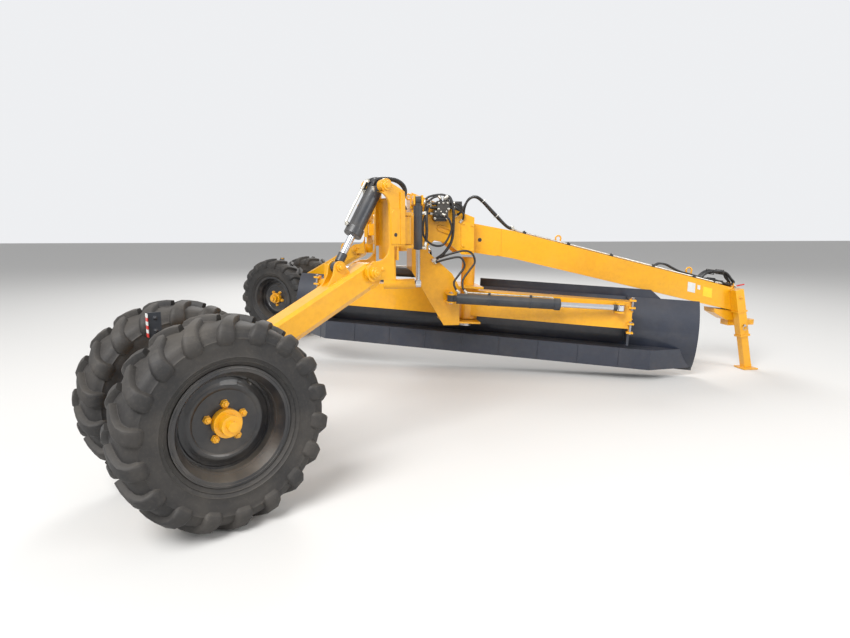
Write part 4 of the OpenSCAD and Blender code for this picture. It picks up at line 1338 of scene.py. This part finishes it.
# %% [markdown]
# ## Marker plates
# The upright behind each axle carries a plate with red and white bands, bolted from the outer side.
# The bands are thin blocks in turn, so two loops with a step of two make them.

# %% Marker plates and their bands
marker = [(-1782, 1026), (-1712, 1026), (-1712, 1166), (-1782, 1166)]
band_foot, band_height, band_count = 1030, 22, 6
for side in ("right", "left"):
    bench = Workbench(bracket_board[side])
    plate(bench, marker, -8, 6)
    for z in (1062, 1134):
        bench.bolt((-1744, -11, z), (0, -1, 0), 8)
    bench.done("%s_marker_plate" % side, "%s_arm_body" % side, "cylinder_paint")
    for key, first, finish in (("red", 0, "lever_paint"), ("white", 1, "sign_white")):
        strip = Workbench(bracket_board[side])
        for k in range(first, band_count, 2):
            z = band_foot + k * band_height
            block(strip, (-1788, -22, z), (-1783, 12, z + band_height))
        strip.done("%s_marker_%s" % (side, key), "%s_arm_body" % side, finish)
print("marker plates: 2")

# %% [markdown]
# ## Jack trim
# The jack's sleeve has a square collar at its mouth and another higher up, a large bolt, and a cross
# pin on a ring. The jack leans a little, so places are measured down its sleeve and out of it. A collar
# is four bars round the sleeve, which leaves the leg free to slide.

# %% Jack's collars and pin
jack_top = Vector((3120, -195, 930))
jack_down = Vector((0.207912, 0, -0.978148))
jack_out = Vector((0.978148, 0, 0.207912))
jack_pin_down, jack_ring_radius = 420, 26
collar_bars = ((-60, 60, -60, -51), (-60, 60, 51, 60), (-60, -51, -51, 51), (51, 60, -51, 51))


def on_jack(down, out, y):
    """A place on the jack, from its top: down the sleeve, forward out of it and to the left."""
    return jack_top + jack_down * down + jack_out * out + Vector((0, y, 0))


trim = Workbench(machine_board)
for down, tall in ((534, 24), (250, 18)):
    for a0, a1, b0, b1 in collar_bars:
        corners = ((a0, b0), (a1, b0), (a1, b1), (a0, b1))
        trim.skin([[on_jack(down + t, out, y) for out, y in corners] for t in (0, tall)])
trim.bolt(on_jack(90, 0, -50), (0, -1, 0), 18)
rounded(trim.done("jack_trim", "frame", "frame_paint"), 0.003)

cross_pin = Workbench(machine_board)
cross_pin.turned(on_jack(jack_pin_down, 0, -78), (0, 1, 0), [(0, 11), (2, 13), (26, 13)], 20)
cross_pin.turned(on_jack(jack_pin_down, 0, 50), (0, 1, 0), [(0, 13), (24, 13), (26, 11)], 20)
ring_turns = [math.radians(a) for a in range(0, 361, 20)]
cross_pin.tube([on_jack(jack_pin_down + jack_ring_radius + jack_ring_radius * math.sin(a),
                        jack_ring_radius * math.cos(a), -74) for a in ring_turns], 3, 8)
cross_pin.done("jack_pin", "frame", "pin_steel")
print("jack trimmed")

# %% [markdown]
# ## Grease points
# Every pin that turns is greased through a small nipple. Four of them show from above, on the pins of
# the angle cylinders and beside the swing pin.

# %% Grease nipples
nipple = [(0, 6), (8, 6), (9, 4), (14, 4), (17, 6), (20, 3)]
nipple_places = ((-250, -430, 130), (-250, 430, 312), (60, 60, 195), (-60, -60, 195))
grease = Workbench(swing_board)
for place in nipple_places:
    grease.turned(place, (0, 0, 1), nipple, 12)
grease.done("grease_nipples", "frame", "zinc_plate")
print("grease nipples:", len(nipple_places))

# %% [markdown]
# ## The floor
# A pale matt floor lies under the tyres, at the lowest point of the solids.

# %% Floor
def floor(half=60.0):
    low = min(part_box(node)[0][2] for node in nodes)
    corners = [(-half, -half, low), (half, -half, low), (half, half, low), (-half, half, low)]
    mesh = bpy.data.meshes.new("studio_floor")
    mesh.from_pydata(corners, [], [(0, 1, 2, 3)])
    made = bpy.data.objects.new("studio_floor", mesh)
    bpy.context.scene.collection.objects.link(made)
    finish = Finish("floor_finish", 0.9)
    finish.feed(Base_Color=colour(0.72, 0.71, 0.69))
    mesh.materials.append(finish.material)
    return low


floor_z = floor()
print("floor at", round(floor_z, 4))

# %% [markdown]
# ## The light
# Three large soft lamps give form without hard shadows, like a bright overcast day. A pale surround
# fills the rest: the camera and reflections see it brighter than the surfaces do, so the background
# stays clean while the steel keeps its contrast.

# %% Lamps and surround
def lamp(name, place, aim, size, power):
    light = bpy.data.lights.new(name, "AREA")
    light.shape = "DISK"
    light.size = size
    light.energy = power
    made = bpy.data.objects.new(name, light)
    made.location = place
    made.rotation_euler = (Vector(aim) - Vector(place)).to_track_quat("-Z", "Y").to_euler()
    bpy.context.scene.collection.objects.link(made)


def surround(strength=0.50, seen_gain=0.42, glossy_share=0.7):
    world = bpy.data.worlds.new("studio_surround")
    bpy.context.scene.world = world
    world.use_nodes = True
    tree = world.node_tree
    path = tree.nodes.new("ShaderNodeLightPath")
    camera_ray = Value(tree, path.outputs["Is Camera Ray"])
    glossy_ray = Value(tree, path.outputs["Is Glossy Ray"])
    glass_ray = Value(tree, path.outputs["Is Transmission Ray"])
    seen = camera_ray.maths("ADD", camera_ray + glossy_ray * glossy_share, glass_ray, clamp=True)
    background = tree.nodes["Background"]
    background.inputs["Color"].default_value = colour(0.93, 0.94, 0.96)
    tree.links.new((seen * seen_gain + strength).socket, background.inputs["Strength"])


surround()
lamp("key_lamp", place=(-9.0, -9.0, 8.5), aim=(-4.0, 0.0, 0.3), size=7.0, power=1500)
lamp("fill_lamp", place=(5.0, -8.0, 5.0), aim=(-2.5, 0.0, 0.3), size=6.0, power=480)
lamp("back_lamp", place=(-3.0, 10.0, 9.0), aim=(-4.0, 0.0, 0.3), size=7.0, power=900)
bpy.context.scene.view_settings.view_transform = "Standard"
print("lamps:", len(bpy.data.lights))

# %% [markdown]
# ## The camera
# Its place and aim were solved from points that can be seen both in the photograph and in the solids,
# such as the beam's ends, the pins and the wheel's hub.

# %% Camera
photo_width = 850
focal_pixels = 573.6
sensor_width = 36.0
camera_place = (-4.6797, -6.2641, 1.1095)
camera_yaw = 7.05
camera_pitch = -9.04

camera_data = bpy.data.cameras.new("photo_camera")
camera_data.sensor_width = sensor_width
camera_data.sensor_fit = "HORIZONTAL"
camera_data.lens = sensor_width * focal_pixels / photo_width
camera = bpy.data.objects.new("photo_camera", camera_data)
camera.location = camera_place
camera.rotation_euler = (math.radians(90 + camera_pitch), 0.0, math.radians(-camera_yaw))
bpy.context.scene.collection.objects.link(camera)
bpy.context.scene.camera = camera
print("lens", round(camera_data.lens, 2), "mm")
